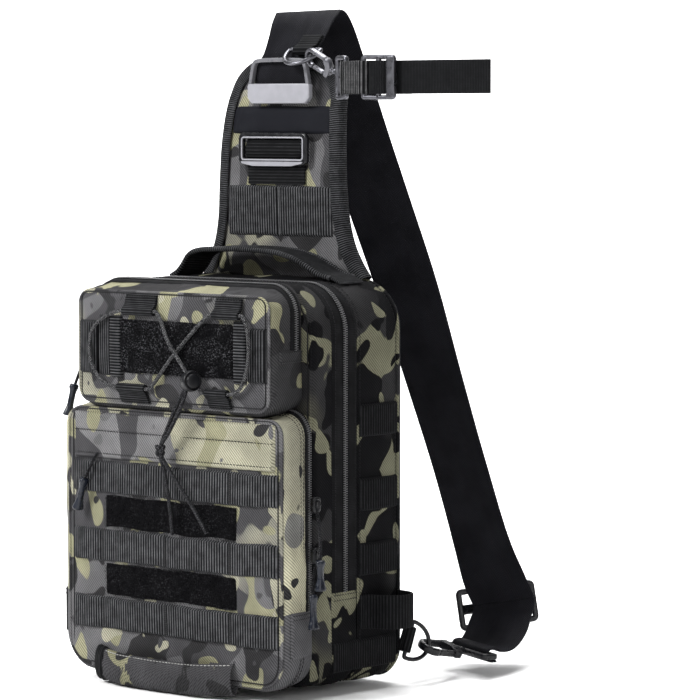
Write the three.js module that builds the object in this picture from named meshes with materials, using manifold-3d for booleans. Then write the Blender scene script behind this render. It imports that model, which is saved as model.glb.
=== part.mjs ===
// A camouflage sling bag for fishing, with two front pockets, a padded shoulder piece, a sling strap,
// a rod loop low on its right side and a rod strap clipped to a ring at the shoulder.
// Millimetres. The bag stands upright: X to its right as seen from the front, the front towards -Y, Z up.
// The bag is drawn from the middle of its bottom at the back, then moved so that the origin is the
// underside of the sling strap at the top of its arch, where the bag hangs.
import * as THREE from 'three';
import { mergeVertices } from 'three/addons/utils/BufferGeometryUtils.js';
import ManifoldModule from 'manifold-3d';

const wasm = await ManifoldModule();
wasm.setup();

const GAP = 0.3;
const WALL = 2;
const WEBBING = 1.8;
const LAID = 0.5;

// Body
const HALF_WIDTH = 107;
const BODY_HEIGHT = 304;
const TOP_RADIUS = 36;
const BOTTOM_RADIUS = 22;
const FRONT_Y = -102;
const ZIP_FRONT_Y = -79.5;
const ZIP_REAR_Y = -50.5;
const REAR_Y = -2;
const BACK_Y = 6;
const GUSSET_BULGE = 2;
const BASE_BULGE = 1.5;
const MAIN_ZIP_END = 72;
const ARC_STEPS = 4;
const STRAIGHT_STEPS = 4;

// Pocket fronts: the edge rounds off over EDGE_WIDTH and drops EDGE_DROP towards the side wall
const EDGE_WIDTH = 6;
const EDGE_DROP = 4;
const EDGE_INSETS = [0.3, 2.4, EDGE_WIDTH];
// Side walls of a pocket: [share of the depth from the rim, share of the bulge], less towards top and foot
const WALL_ROWS = [[0.36, 0.6], [0.86, 1]];
const BULGE_UP = 0.45;
const BODY = { halfWidth: HALF_WIDTH, low: 0, high: BODY_HEIGHT, topRadius: TOP_RADIUS, bottomRadius: BOTTOM_RADIUS };
const SHELL = { ...BODY, rimY: ZIP_FRONT_Y - GAP, faceY: FRONT_Y, crown: 0, bulge: 0 };
const UPPER = {
  halfWidth: 95, low: 212, high: 301, topRadius: 20, bottomRadius: 13,
  rimY: FRONT_Y - GAP, faceY: -138.5, crown: 4, bulge: 6.5,
};
const LOWER = {
  halfWidth: HALF_WIDTH, low: 4, high: 203, topRadius: 16, bottomRadius: BOTTOM_RADIUS,
  rimY: FRONT_Y - GAP, faceY: -136, crown: 3, bulge: 7.5,
};
const UPPER_ZIP_END = 257;
const LOWER_ZIP_END = 62;

const COLOURS = {
  camo: [0x4b4b43, 0.9, 0], webbing: [0x1d1e21, 0.85, 0], loop: [0x131315, 0.97, 0],
  plastic: [0x24252b, 0.45, 0], plate: [0x6d7078, 0.4, 0], zipper: [0x1a1b1d, 0.8, 0],
  cord: [0x2b2c2f, 0.85, 0], elastic: [0x15161a, 0.7, 0],
};

const V = (x, y, z) => new THREE.Vector3(x, y, z);
const lerp = THREE.MathUtils.lerp;

// Geometry helpers

// A skin over loops of points; the quads of the sides named in crossed are split along their other diagonal
function loft(loops, { closed = false, poles = [], crossed = [] } = {}) {
  const size = loops[0].length;
  const points = loops.flat();
  const index = [];
  const spans = closed ? loops.length : loops.length - 1;
  for (let i = 0; i < spans; i++) {
    const next = (i + 1) % loops.length;
    for (let j = 0; j < size; j++) {
      const k = (j + 1) % size;
      const [a, b, c, d] = [i * size + j, i * size + k, next * size + k, next * size + j];
      index.push(...(crossed.includes(j) ? [a, b, d, b, c, d] : [a, b, c, a, c, d]));
    }
  }
  if (!closed) {
    [loops[0], loops[loops.length - 1]].forEach((loop, end) => {
      const middle = loop.reduce((sum, p) => sum.add(p), V(0, 0, 0)).divideScalar(size);
      const pole = points.push(poles[end] ?? middle) - 1;
      const first = end ? (loops.length - 1) * size : 0;
      for (let j = 0; j < size; j++) {
        const a = first + j;
        const b = first + (j + 1) % size;
        index.push(pole, ...(end ? [a, b] : [b, a]));
      }
    });
  }
  let volume = 0;
  for (let t = 0; t < index.length; t += 3) {
    const [a, b, c] = [points[index[t]], points[index[t + 1]], points[index[t + 2]]];
    volume += a.dot(V(0, 0, 0).crossVectors(b, c));
  }
  if (volume < 0) index.reverse();
  const geometry = new THREE.BufferGeometry();
  geometry.setAttribute('position', new THREE.Float32BufferAttribute(points.flatMap((p) => p.toArray()), 3));
  geometry.setIndex(index);
  return geometry;
}

function toManifold(geometry) {
  const bare = new THREE.BufferGeometry();
  bare.setAttribute('position', geometry.attributes.position.clone());
  if (geometry.index) bare.setIndex(geometry.index.clone());
  const welded = mergeVertices(bare, 1e-4);
  return new wasm.Manifold(new wasm.Mesh({
    numProp: 3,
    vertProperties: new Float32Array(welded.attributes.position.array),
    triVerts: new Uint32Array(welded.index.array),
  }));
}

function fromManifold(solid) {
  const mesh = solid.getMesh();
  const geometry = new THREE.BufferGeometry();
  geometry.setAttribute('position', new THREE.Float32BufferAttribute(mesh.vertProperties, 3));
  geometry.setIndex([...mesh.triVerts]);
  return geometry;
}

const joined = (...parts) => fromManifold(parts.map(toManifold).reduce((all, part) => all.add(part)));

function cutFrom(part, ...tools) {
  return fromManifold(tools.map(toManifold).reduce((left, tool) => left.subtract(tool), toManifold(part)));
}

// Points of a rounded outline in X and Z, anticlockwise from the lower right corner
function outline(box, insetX = 0, insetZ = insetX) {
  const inset = (insetX + insetZ) / 2;
  const w = box.halfWidth - insetX;
  const low = box.low + insetZ;
  const high = box.high - insetZ;
  const top = Math.max(box.topRadius - inset, 1);
  const bottom = Math.max(box.bottomRadius - inset, 1);
  const corners = [
    [w - bottom, low + bottom, bottom], [w - top, high - top, top],
    [top - w, high - top, top], [bottom - w, low + bottom, bottom],
  ];
  const arcs = corners.map(([x, z, radius], quarter) => arc(x, z, radius, quarter * 90 - 90, quarter * 90, ARC_STEPS));
  return arcs.flatMap((points, i) => {
    const from = points[points.length - 1];
    const to = arcs[(i + 1) % 4][0];
    const straight = [];
    for (let s = 1; s < STRAIGHT_STEPS; s++) straight.push(from.clone().lerp(to, s / STRAIGHT_STEPS));
    return [...points, ...straight];
  });
}

function arc(x, y, radius, fromDeg, toDeg, steps) {
  const points = [];
  for (let i = 0; i <= steps; i++) {
    const a = THREE.MathUtils.degToRad(lerp(fromDeg, toDeg, i / steps));
    points.push(new THREE.Vector2(x + radius * Math.cos(a), y + radius * Math.sin(a)));
  }
  return points;
}

const drop = (inset) => (inset < EDGE_WIDTH ? EDGE_DROP * ((EDGE_WIDTH - inset) / EDGE_WIDTH) ** 2 : 0);

function crownY(box, x, z) {
  const u = x / box.halfWidth;
  const v = (2 * z - box.low - box.high) / (box.high - box.low);
  return box.faceY - box.crown * (1 - u * u) * (1 - v * v);
}

// A point lifted off the front of a pocket
function on(box, x, z, lift) {
  const inset = Math.min(box.halfWidth - Math.abs(x), z - box.low, box.high - z);
  return V(x, crownY(box, x, z) + drop(inset) - lift, z);
}

// Side wall of a pocket, from its rim: [y, distance outside the outline]
function wallRows(box) {
  const edgeY = box.faceY + drop(EDGE_INSETS[0]);
  const rows = box.bulge ? WALL_ROWS : [];
  return [[box.rimY, 0], ...rows.map(([share, out]) => [lerp(box.rimY, edgeY, share), box.bulge * out])];
}

// A pocket of cloth, open at the back
function tub(box) {
  const shrink = box.crown ? [0.5] : [];
  const middle = (box.low + box.high) / 2;
  const skin = (wall) => {
    const ring = (inset) => outline(box, inset + wall).map((p) => V(p.x, crownY(box, p.x, p.y) + drop(inset) + wall, p.y));
    const rings = EDGE_INSETS.map(ring);
    const face = rings[rings.length - 1];
    shrink.forEach((s) => rings.push(face.map((p) => {
      const [x, z] = [p.x * s, middle + (p.z - middle) * s];
      return V(x, crownY(box, x, z) + wall, z);
    })));
    const sides = wallRows(box).map(([y, out]) => outline(box, wall - out, wall - out * BULGE_UP).map((p) => V(p.x, y, p.y)));
    return { rings: [...sides, ...rings], pole: V(0, crownY(box, 0, middle) + wall, middle) };
  };
  const outer = skin(0);
  const inner = skin(WALL);
  return loft([...inner.rings.reverse(), ...outer.rings], { poles: [inner.pole, outer.pole] });
}

// The upper or the lower part of an outline, between two points on its sides
function rimLine(box, endZ, upper, outX, outZ) {
  const points = outline(box, -outX, -outZ);
  const perCorner = ARC_STEPS + STRAIGHT_STEPS;
  const start = upper ? perCorner : 3 * perCorner;
  const corners = Array.from({ length: perCorner + ARC_STEPS + 1 }, (_, i) => points[(start + i) % points.length]);
  const first = corners[0];
  const last = corners[corners.length - 1];
  const shares = [0, 1 / 3, 2 / 3];
  return [
    ...shares.map((s) => new THREE.Vector2(first.x, lerp(endZ, first.y, s))), ...corners,
    ...shares.toReversed().map((s) => new THREE.Vector2(last.x, lerp(endZ, last.y, s))),
  ];
}

// A band around part of an outline, its section given as [distance outside, y, distance outside at top and foot]
function band(box, endZ, upper, section) {
  const lines = section.map(([outX, , outZ = outX]) => rimLine(box, endZ, upper, outX, outZ));
  return loft(lines[0].map((_, i) => lines.map((line, k) => V(line[i].x, section[k][1], line[i].y))));
}

// Cloth or webbing laid on a pocket front: each column is [x, lift], and tall pieces take more rows
function frontStrip(box, columns, low, high, thickness, rows = 1) {
  const heights = Array.from({ length: rows + 1 }, (_, i) => lerp(low, high, i / rows));
  return loft(columns.map(([x, lift]) => [
    ...heights.map((z) => on(box, x, z, lift)),
    ...heights.toReversed().map((z) => on(box, x, z, lift + thickness)),
  ]));
}

// A strap through stations [x, y, z, across x, across y, across z, half width]; where it twists, both of its
// faces are split the same way, so that it keeps its thickness
const STRAP_OUTSIDE = 2;
function strap(stations, thickness, { closed = false } = {}) {
  const centres = stations.map((s) => V(s[0], s[1], s[2]));
  const count = stations.length;
  return loft(stations.map((s, i) => {
    const before = closed ? (i + count - 1) % count : Math.max(i - 1, 0);
    const after = closed ? (i + 1) % count : Math.min(i + 1, count - 1);
    const across = V(s[3], s[4], s[5]).normalize();
    const along = centres[after].clone().sub(centres[before]);
    const out = V(0, 0, 0).crossVectors(along, across).normalize().multiplyScalar(thickness / 2);
    const side = across.multiplyScalar(s[6]);
    const corner = (a, b) => centres[i].clone().addScaledVector(side, a).addScaledVector(out, b);
    return [corner(-1, -1), corner(1, -1), corner(1, 1), corner(-1, 1)];
  }), { closed, crossed: [STRAP_OUTSIDE] });
}

const levelStrap = (path, z, halfHeight, thickness, options) =>
  strap(path.map(([x, y]) => [x, y, z, 0, 0, 1, halfHeight]), thickness, options);

function rectPoints(width, height, radius, steps = 2) {
  const [w, h] = [width / 2 - radius, height / 2 - radius];
  return [[w, -h], [w, h], [-w, h], [-w, -h]].flatMap(([x, y], i) => arc(x, y, radius, i * 90 - 90, i * 90, steps));
}

function plate(points, holes, depth, bevel) {
  const shape = new THREE.Shape(points);
  shape.holes = holes.map((hole) => new THREE.Path(hole));
  const geometry = new THREE.ExtrudeGeometry(shape, {
    depth: depth - 2 * bevel, steps: 1, bevelEnabled: bevel > 0, bevelThickness: bevel, bevelSize: bevel,
    bevelOffset: -bevel, bevelSegments: 1,
  });
  return geometry.translate(0, 0, bevel - depth / 2);
}

const moved = (points, x, y) => points.map((p) => new THREE.Vector2(p.x + x, p.y + y));

// Set a piece drawn flat into place: its own X along u, its own Y towards v
function placed(geometry, origin, u, v) {
  const x = u.clone().normalize();
  const z = V(0, 0, 0).crossVectors(x, v).normalize();
  const y = V(0, 0, 0).crossVectors(z, x);
  return geometry.applyMatrix4(new THREE.Matrix4().makeBasis(x, y, z).setPosition(origin));
}

function tube(points, radius, steps, sides = 8) {
  const section = arc(0, 0, radius, 0, 360 - 360 / sides, sides - 1);
  const curve = new THREE.CatmullRomCurve3(points, false, 'centripetal');
  return new THREE.ExtrudeGeometry(new THREE.Shape(section), { steps, extrudePath: curve, bevelEnabled: false });
}

// Folded tab with an eye, drawn across its length: the eye at the middle, the neck towards +Y
function tabSection(eye, cloth, neck) {
  const outer = eye + cloth;
  const lean = THREE.MathUtils.radToDeg(Math.asin(cloth / outer));
  const round = arc(0, 0, outer, 90 + lean, 450 - lean, 10);
  return { points: [...round, new THREE.Vector2(cloth, neck), new THREE.Vector2(-cloth, neck)], hole: arc(0, 0, eye, 0, 324, 9) };
}

function foldedTab(eye, cloth, neck, length) {
  const { points, hole } = tabSection(eye, cloth, neck);
  return plate(points, [hole], length, 0);
}

const root = new THREE.Group();
root.name = 'fishing_rod_bag';
function add(name, colour, geometry) {
  const [hex, roughness, metalness] = COLOURS[colour];
  const mesh = new THREE.Mesh(geometry, new THREE.MeshStandardMaterial({ color: hex, roughness, metalness }));
  mesh.name = name;
  root.add(mesh);
}

// Body: padded back, gussets, zipper band and front shell
{
  const ring = (inset, y) => outline(BODY, inset).map((p) => V(p.x, y, p.y));
  add('back_panel', 'camo', loft([ring(3, REAR_Y + GAP), ring(0, 0.5), ring(0.6, 3.5), ring(6, BACK_Y)]));
  const middleY = (ZIP_REAR_Y + REAR_Y) / 2;
  const depths = [[ZIP_REAR_Y + GAP, 0], [middleY, GUSSET_BULGE], [REAR_Y, 0]];
  const outside = depths.map(([y, bulge]) => ring(-bulge, y));
  const inside = depths.map(([y, bulge]) => ring(WALL - bulge, y)).reverse();
  add('rear_gusset', 'camo', loft([...outside, ...inside], { closed: true }));
}
const TAPE = 1.2;
const COIL_RISE = 1.6;
const ZIP_MIDDLE = (ZIP_FRONT_Y + ZIP_REAR_Y) / 2;
add('base_gusset', 'camo', band(BODY, MAIN_ZIP_END - GAP, false, [
  [-WALL, ZIP_FRONT_Y], [-WALL, ZIP_REAR_Y], [0, ZIP_REAR_Y], [BASE_BULGE, ZIP_MIDDLE], [0, ZIP_FRONT_Y],
]));
add('main_zipper', 'zipper', band(BODY, MAIN_ZIP_END, true, [
  [-TAPE, ZIP_FRONT_Y], [-TAPE, ZIP_REAR_Y], [0, ZIP_REAR_Y], [0, ZIP_MIDDLE + 4.5], [COIL_RISE, ZIP_MIDDLE + 3],
  [COIL_RISE, ZIP_MIDDLE - 3], [0, ZIP_MIDDLE - 4.5], [0, ZIP_FRONT_Y],
]));
add('front_shell', 'camo', tub(SHELL));

// Pockets and their zippers, which lie on the pocket walls next to the body
add('upper_pocket', 'camo', tub(UPPER));
add('lower_pocket', 'camo', tub(LOWER));
const POCKET_ZIP = [[0, -112.8], [0, -103.2], [1.2, -103.2], [1.2, -106], [2.4, -107], [2.4, -109.2], [1.2, -110.2], [1.2, -112.8]];
function zipOnWall(box) {
  const [[rimY, rimOut], [y1, out1]] = wallRows(box);
  return POCKET_ZIP.map(([rise, y]) => {
    const out = lerp(rimOut, out1, (y - rimY) / (y1 - rimY));
    return [LAID + rise + out, y, LAID + rise + out * BULGE_UP];
  });
}
add('upper_pocket_zipper', 'zipper', band(UPPER, UPPER_ZIP_END, true, zipOnWall(UPPER)));
add('lower_pocket_zipper', 'zipper', band(LOWER, LOWER_ZIP_END, true, zipOnWall(LOWER)));

// Lower pocket: flap over the slip pocket, three webbing rows sewn down at intervals, two loop patches
const FLAP = { low: 168, high: 196.8, thickness: 2.2 };
add('pocket_flap', 'camo', frontStrip(LOWER, [-104.6, -101, -66, -33, 0, 33, 66, 101, 104.6].map((x) => [x, LAID]),
  FLAP.low, FLAP.high, FLAP.thickness));
const FRONT_ROW_HEIGHT = 25.2;
const ROW_COLUMNS = [
  [-106.2, LAID], [-104.6, LAID], [-101, LAID], [-87, 1.4], [-75, LAID], [-44, 1.7], [-13, LAID], [20, 1.7], [53, LAID],
  [76, 1.6], [101, LAID], [104.6, LAID], [106.2, LAID],
];
[153, 100, 47.5].forEach((z, i) => add(`molle_front_${i + 1}`, 'webbing',
  frontStrip(LOWER, ROW_COLUMNS, z - FRONT_ROW_HEIGHT / 2, z + FRONT_ROW_HEIGHT / 2, WEBBING)));
[[114.2, 138.8], [61.6, 86]].forEach(([low, high], i) => add(`loop_patch_${i + 1}`, 'loop',
  frontStrip(LOWER, [-72, -36, -4, 30, 63].map((x) => [x, LAID]), low, high, 1.6)));

// Handle at the foot of the lower pocket: a flattened roll bowed off the pocket
const FOOT_HANDLE = { x: -9, half: 70, z: 9, sag: 3, seatY: -138.5, bow: 8, halfHeight: 12, endThick: 2, midThick: 4.6 };
{
  const loops = [];
  for (let i = 0; i <= 10; i++) {
    const t = i / 5 - 1;
    const rise = 1 - t * t;
    const thick = lerp(FOOT_HANDLE.endThick, FOOT_HANDLE.midThick, Math.min(1, rise * 1.6));
    const y = FOOT_HANDLE.seatY - FOOT_HANDLE.bow * Math.min(1, rise * 1.5);
    loops.push(arc(0, 0, 1, 0, 315, 7).map((p) =>
      V(FOOT_HANDLE.x + t * FOOT_HANDLE.half, y + p.x * thick, FOOT_HANDLE.z - FOOT_HANDLE.sag * rise + p.y * FOOT_HANDLE.halfHeight)));
  }
  add('bottom_handle', 'webbing', loft(loops));
}

// Upper pocket: side bands, loop panel between two ribbed bindings
const TALL_ROWS = 4;
const sideBand = (side) => frontStrip(UPPER, [[76.2, LAID], [81, 1.6], [89, LAID], [92.6, LAID], [94.2, LAID]]
  .map(([x, lift]) => [side * x, lift]), 233, 274, WEBBING, TALL_ROWS);
add('side_band_left', 'webbing', sideBand(-1));
add('side_band_right', 'webbing', sideBand(1));
add('loop_panel', 'loop', frontStrip(UPPER, [-63, -32, 0, 32, 63].map((x) => [x, LAID]), 235, 276, 1.6, TALL_ROWS));
const binding = (side) => frontStrip(UPPER, [63.4, 69, 75.6].map((x) => [side * x, LAID]), 233, 278, 2, TALL_ROWS);
add('panel_binding_left', 'webbing', binding(-1));
add('panel_binding_right', 'webbing', binding(1));

// Folded tabs that carry the elastic cord along the top and the foot of the upper pocket
const CORD = 1.5;
const CORD_EYE = 2;
const TAB_CLOTH = 1.2;
const TAB_SEAT = CORD_EYE + TAB_CLOTH + 0.6;
const CORD_TABS = [
  { name: 'cord_tab_top_left', from: -46, to: -14, z: 282.6, neck: 11 },
  { name: 'cord_tab_top_right', from: 46, to: 72, z: 282.6, neck: 11 },
  { name: 'cord_tab_bottom_left', from: -53, to: -24, z: 224, neck: -8 },
  { name: 'cord_tab_bottom_right', from: 38, to: 60, z: 224, neck: -8 },
];
CORD_TABS.forEach((tab) => {
  tab.y = Math.min(on(UPPER, tab.from, tab.z, TAB_SEAT).y, on(UPPER, tab.to, tab.z, TAB_SEAT).y);
  const solid = foldedTab(CORD_EYE, TAB_CLOTH, Math.abs(tab.neck), tab.to - tab.from);
  const up = V(0, 0, Math.sign(tab.neck));
  add(tab.name, 'webbing', placed(solid, V((tab.from + tab.to) / 2, tab.y, tab.z), V(0, up.z, 0), up));
});

// Elastic cord: from the lock through the four tabs and back, crossing once, then two knotted tails
const LOCK = V(29.8, -151.6, 232.8);
const LOCK_RADIUS = 8.2;
const [TAB_TL, TAB_TR, TAB_BL, TAB_BR] = CORD_TABS;
const tabEnd = (tab, x) => V(x, tab.y, tab.z);
const overCord = (x, z, lift) => on(UPPER, x, z, lift);
const LACING = [
  V(26.4, -151, 237.1), V(17, -151.4, 248.5), V(7, -151.4, 260.5), tabEnd(TAB_TL, TAB_TL.to + 2.5), tabEnd(TAB_TL, TAB_TL.to - 3),
  tabEnd(TAB_TL, -30), tabEnd(TAB_TL, TAB_TL.from + 3), tabEnd(TAB_TL, TAB_TL.from - 3), overCord(-64, 278, 5), overCord(-77, 268, 6.4),
  overCord(-81, 253, 6.4), overCord(-77, 238, 6.4), overCord(-68, 227.5, 5), tabEnd(TAB_BL, TAB_BL.from - 3),
  tabEnd(TAB_BL, TAB_BL.from + 3), tabEnd(TAB_BL, TAB_BL.to - 3), tabEnd(TAB_BL, TAB_BL.to + 3), overCord(8, 251, 4.6),
  tabEnd(TAB_TR, TAB_TR.from - 3), tabEnd(TAB_TR, TAB_TR.from + 3), tabEnd(TAB_TR, TAB_TR.to - 3), tabEnd(TAB_TR, TAB_TR.to + 3),
  overCord(81, 274, 6.6), overCord(83, 258, 6.6), overCord(80, 240, 6.6), overCord(72, 228, 5), tabEnd(TAB_BR, TAB_BR.to + 3),
  tabEnd(TAB_BR, TAB_BR.to - 3), tabEnd(TAB_BR, TAB_BR.from + 3), tabEnd(TAB_BR, TAB_BR.from - 2.8), V(31, -148.6, 231),
];
add('bungee_lacing', 'cord', tube(LACING, CORD, 46));
const KNOT = V(-2, -151.5, 179);
const KNOT_RADIUS = 5.2;
const TAIL_LEFT = [V(26.4, -151, 230.6), V(17.6, -152.4, 216), V(6, -152, 196), KNOT, V(2, -150.5, 160), V(5, -149, 138), V(7, -148, 115)];
const TAIL_RIGHT = [V(28.6, -153.4, 230.2), V(22, -154.4, 213), V(9, -153, 194), KNOT, V(9, -151, 162), V(26, -149, 141), V(42, -148, 119)];
add('bungee_tails', 'cord', joined(tube(TAIL_LEFT, CORD, 10), tube(TAIL_RIGHT, CORD, 10),
  new THREE.SphereGeometry(KNOT_RADIUS, 8, 5).translate(...KNOT.toArray())));
{
  const ball = new THREE.SphereGeometry(LOCK_RADIUS, 9, 6).translate(...LOCK.toArray());
  const eye = (from, to, radius) => tube([from, to], radius, 1, 6);
  const through = (a, b) => [a.clone().lerp(b, -0.4), b];
  add('cord_lock', 'plastic', cutFrom(ball,
    eye(...through(LACING[0], LACING[1]), 2), eye(...through(LACING[LACING.length - 1], LACING[LACING.length - 2]), 2),
    eye(...through(TAIL_LEFT[0], TAIL_LEFT[1]), 2), eye(...through(TAIL_RIGHT[0], TAIL_RIGHT[1]), 2)));
}

// Webbing rows on the right side of the rear gusset: [low, high, y from, y to]
const gussetX = (y) => {
  const [front, rear, bulge] = y < ZIP_REAR_Y ? [ZIP_FRONT_Y, ZIP_REAR_Y, BASE_BULGE] : [ZIP_REAR_Y, REAR_Y, GUSSET_BULGE];
  const middle = (front + rear) / 2;
  return HALF_WIDTH + bulge * (1 - Math.abs(y - middle) / ((rear - front) / 2));
};
const GUSSET_MIDDLE = (ZIP_REAR_Y + REAR_Y) / 2;
const SIDE_ROWS = [
  { low: 188, high: 213, ys: [-48, -37, GUSSET_MIDDLE, -15, -4] },
  { low: 131.5, high: 156.5, ys: [-48, -37, GUSSET_MIDDLE, -15, -4] },
  { low: 82, high: 107, ys: [-48, -37, GUSSET_MIDDLE, -15, -4] },
  { low: 11, high: 34, ys: [-78, ZIP_MIDDLE, ZIP_REAR_Y, -37, GUSSET_MIDDLE, -6] },
];
SIDE_ROWS.forEach(({ low, high, ys }, i) => add(`molle_side_${i + 1}`, 'webbing', loft(ys.map((y) => {
  const inner = gussetX(y) + LAID;
  return [V(inner, y, low), V(inner, y, high), V(inner + WEBBING, y, high), V(inner + WEBBING, y, low)];
}))));

// Rod loop: a band standing off the right side, sewn down at both ends
const ROD_LOOP_Z = 54.5;
const ROD_LOOP_PATH = [
  [108.7, -47.5], [109.2, -43], [112.5, -39.5], [119, -37.5], [126, -35], [131.5, -29], [133.4, -21], [131, -13], [125, -7.5], [117, -5.4],
  [111, -5.2], [109.3, -3.4], [108.9, -1],
];
add('rod_loop', 'webbing', levelStrap(ROD_LOOP_PATH, ROD_LOOP_Z, 13, WEBBING));

// Handle on top of the body
const TOP_HANDLE_PATH = [
  [-95, 299.2], [-87, 304.6], [-80, 308.4], [-74.5, 314], [-69, 321], [-61, 325], [-25, 327.4], [5, 327], [25, 325.4], [42, 321], [56, 315],
  [66, 310.2], [77, 307.8], [87, 304.2],
];
add('top_handle', 'webbing', strap(TOP_HANDLE_PATH.map(([x, z]) => [x, -33, z, 0, 1, 0, 15]), 2.6));

// Padded shoulder piece above the top seam: [z, half width, y of its middle]
const PAD_X = -5;
const PAD_ROWS = [
  [304.9, 77.8, -3], [316, 70.5, -4], [330, 63.5, -5], [350, 58.5, -6], [380, 56, -7], [410, 54.5, -6], [433, 52.5, -3],
  [446, 50.4, 0.25], [459.3, 43.6, 2], [468.6, 27, 3.4],
];
const PAD_THICK = 4.5;
function padY(z) {
  const i = Math.max(0, PAD_ROWS.findIndex((row) => row[0] >= z) - 1);
  const [a, b] = [PAD_ROWS[i], PAD_ROWS[i + 1]];
  return lerp(a[2], b[2], (z - a[0]) / (b[0] - a[0]));
}
add('shoulder_pad', 'camo', loft(PAD_ROWS.map(([z, half, y]) => {
  const side = [[half, -2], [half, 2], [half - 5, PAD_THICK]];
  return [...side, ...side.map(([x, off]) => [-x, off]).reverse(), [5 - half, -PAD_THICK], [half - 5, -PAD_THICK]]
    .map(([x, off]) => V(PAD_X + x, y + off, z));
})));
// Bound edge of the pad: [z, half width of its middle line, y]
const EDGE_ROWS = [
  [305.6, 82.2, -3], [316, 75.2, -4], [330, 68.1, -5], [350, 63, -6], [380, 60.5, -7], [410, 59, -6], [434, 57, -3],
  [447.4, 55, 0.25], [462, 47.5, 2], [473, 30, 3.4],
];
{
  const right = EDGE_ROWS.map(([z, x, y]) => V(PAD_X + x, y, z));
  const left = EDGE_ROWS.map(([z, x, y]) => V(PAD_X - x, y, z)).reverse();
  const path = [...right, ...left];
  add('pad_binding', 'webbing', loft(path.map((p, i) => {
    const along = path[Math.min(i + 1, path.length - 1)].clone().sub(path[Math.max(i - 1, 0)]).setY(0).normalize();
    const out = V(along.z, 0, -along.x);
    return arc(0, 0, 1, 0, 300, 5).map((c) => p.clone().addScaledVector(out, c.x * 3.3).add(V(0, c.y * 5.2, 0)));
  })));
}
const padStrip = (half, low, high, lift, thickness) => loft([-half, -half / 2, 0, half / 2, half].map((x) => {
  const at = (z, off) => V(PAD_X + x, padY(z) - PAD_THICK - lift - off, z);
  return [at(low, 0), at(high, 0), at(high, thickness), at(low, thickness)];
}));
add('pad_molle', 'webbing', padStrip(52, 337, 376.6, LAID, WEBBING));
add('pad_elastic', 'elastic', padStrip(50, 417, 438.4, LAID, 1.6));

// Rectangular ring on the pad with the strap that holds it, and the sliding buckle above
const PAD_STRAP_X = -6;
const PAD_STRAP_HALF = 29.5;
const RING = { z: 405, y: -16.4, width: 71, height: 26, bar: 5, depth: 4.5 };
add('pad_strap', 'webbing', strap([
  [-12.9, 377.6], [-12.9, 392], [-13, 396.6], [-15, 400], [-16.4, 405], [-15, 410], [-13, 413.4], [-12.9, 416.4],
].map(([y, z]) => [PAD_STRAP_X, y, z, 1, 0, 0, PAD_STRAP_HALF]), WEBBING));
add('pad_ring_buckle', 'plastic', placed(
  plate(rectPoints(RING.width, RING.height, 5), [rectPoints(RING.width - 2 * RING.bar, RING.height - 2 * RING.bar, 2)], RING.depth, 0.8),
  V(PAD_STRAP_X, RING.y, RING.z), V(1, 0, 0), V(0, 0, 1)));
// Sliding buckle: a tapered frame over a broad lower plate with cut corners
const BUCKLE = { x: -2, y: -13.55, z: 457.5, depth: 5 };
const BUCKLE_RIGHT = [[28, -17], [32, -12.5], [32, -3], [27, 18]];
const BUCKLE_WINDOW = [[27, -1.5], [23.5, 14.8]];
const mirrored = (right) => [...right, ...right.map(([x, y]) => [-x, y]).reverse()].map(([x, y]) => new THREE.Vector2(x, y));
add('upper_buckle', 'plate', placed(plate(mirrored(BUCKLE_RIGHT), [mirrored(BUCKLE_WINDOW)], BUCKLE.depth, 1),
  V(BUCKLE.x, BUCKLE.y, BUCKLE.z), V(1, 0, 0), V(0, 0, 1)));

// Sling strap: [x, y, z, across x, across y, across z, half width]
const SLING = [
  [-2, -9.6, 441, 1, 0, 0, 25], [-2, -9.8, 455, 1, 0, 0, 25], [-2, -9.6, 466, 1, 0.02, 0, 25], [0, -6.5, 478, 1, 0.08, 0, 25],
  [2.5, 0, 492, 0.97, 0.25, 0.01, 25], [3, 8, 504, 0.9, 0.43, 0.03, 25], [1, 15.5, 511, 0.83, 0.55, 0.05, 25.5],
  [-2.6, 22, 513.2, 0.77, 0.64, 0.06, 25.5], [-3.6, 28.5, 511.5, 0.76, 0.64, 0.09, 25.5], [-3.2, 34, 505, 0.76, 0.64, 0.14, 25],
  [-1, 40, 490.8, 0.75, 0.62, 0.22, 25], [4, 45.5, 468, 0.74, 0.61, 0.28, 25], [10.5, 50.5, 443.4, 0.73, 0.6, 0.31, 25],
  [20, 60, 402, 0.75, 0.57, 0.32, 25], [30, 70, 360, 0.8, 0.5, 0.31, 25], [45.5, 85, 296, 0.86, 0.4, 0.29, 25],
  [61.5, 100, 222, 0.94, 0.21, 0.27, 25], [77.5, 115, 148, 0.965, 0.12, 0.24, 25], [91, 128.5, 82, 0.94, 0.24, 0.24, 25],
  [98.5, 133, 58, 0.84, 0.5, 0.2, 25], [106.5, 134.5, 42.5, 0.76, 0.64, 0.14, 25],
];
add('sling_strap', 'webbing', strap(SLING, WEBBING));
const LOWER_STRAP = [
  [106.75, 134.54, 42, 0.76, 0.64, 0.14, 25], [107.6, 132, 36.5, 0.77, 0.63, 0.11, 25], [109, 126.5, 30, 0.78, 0.62, 0.08, 25],
  [113, 116, 21.5, 0.86, 0.5, 0.04, 25], [116.5, 104, 15.4, 0.93, 0.3, 0, 25], [118.6, 95, 12.6, 0.97, 0.05, -0.03, 25],
];
const HOOK_BASE = { across: V(0.95, -0.3, -0.04), width: 61, height: 15, bar: 4.4, depth: 4.6, clear: 1.4 };
add('strap_adjuster', 'plastic', placed(
  plate(rectPoints(64, 34, 5), [moved(rectPoints(53, 8, 1.5, 1), 0, 8), moved(rectPoints(53, 8, 1.5, 1), 0, -8)], 4.4, 0.8),
  V(97.9, 136.6, 38.4), V(0.76, 0.64, 0.14), V(-0.47, -0.09, 0.88)));

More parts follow.
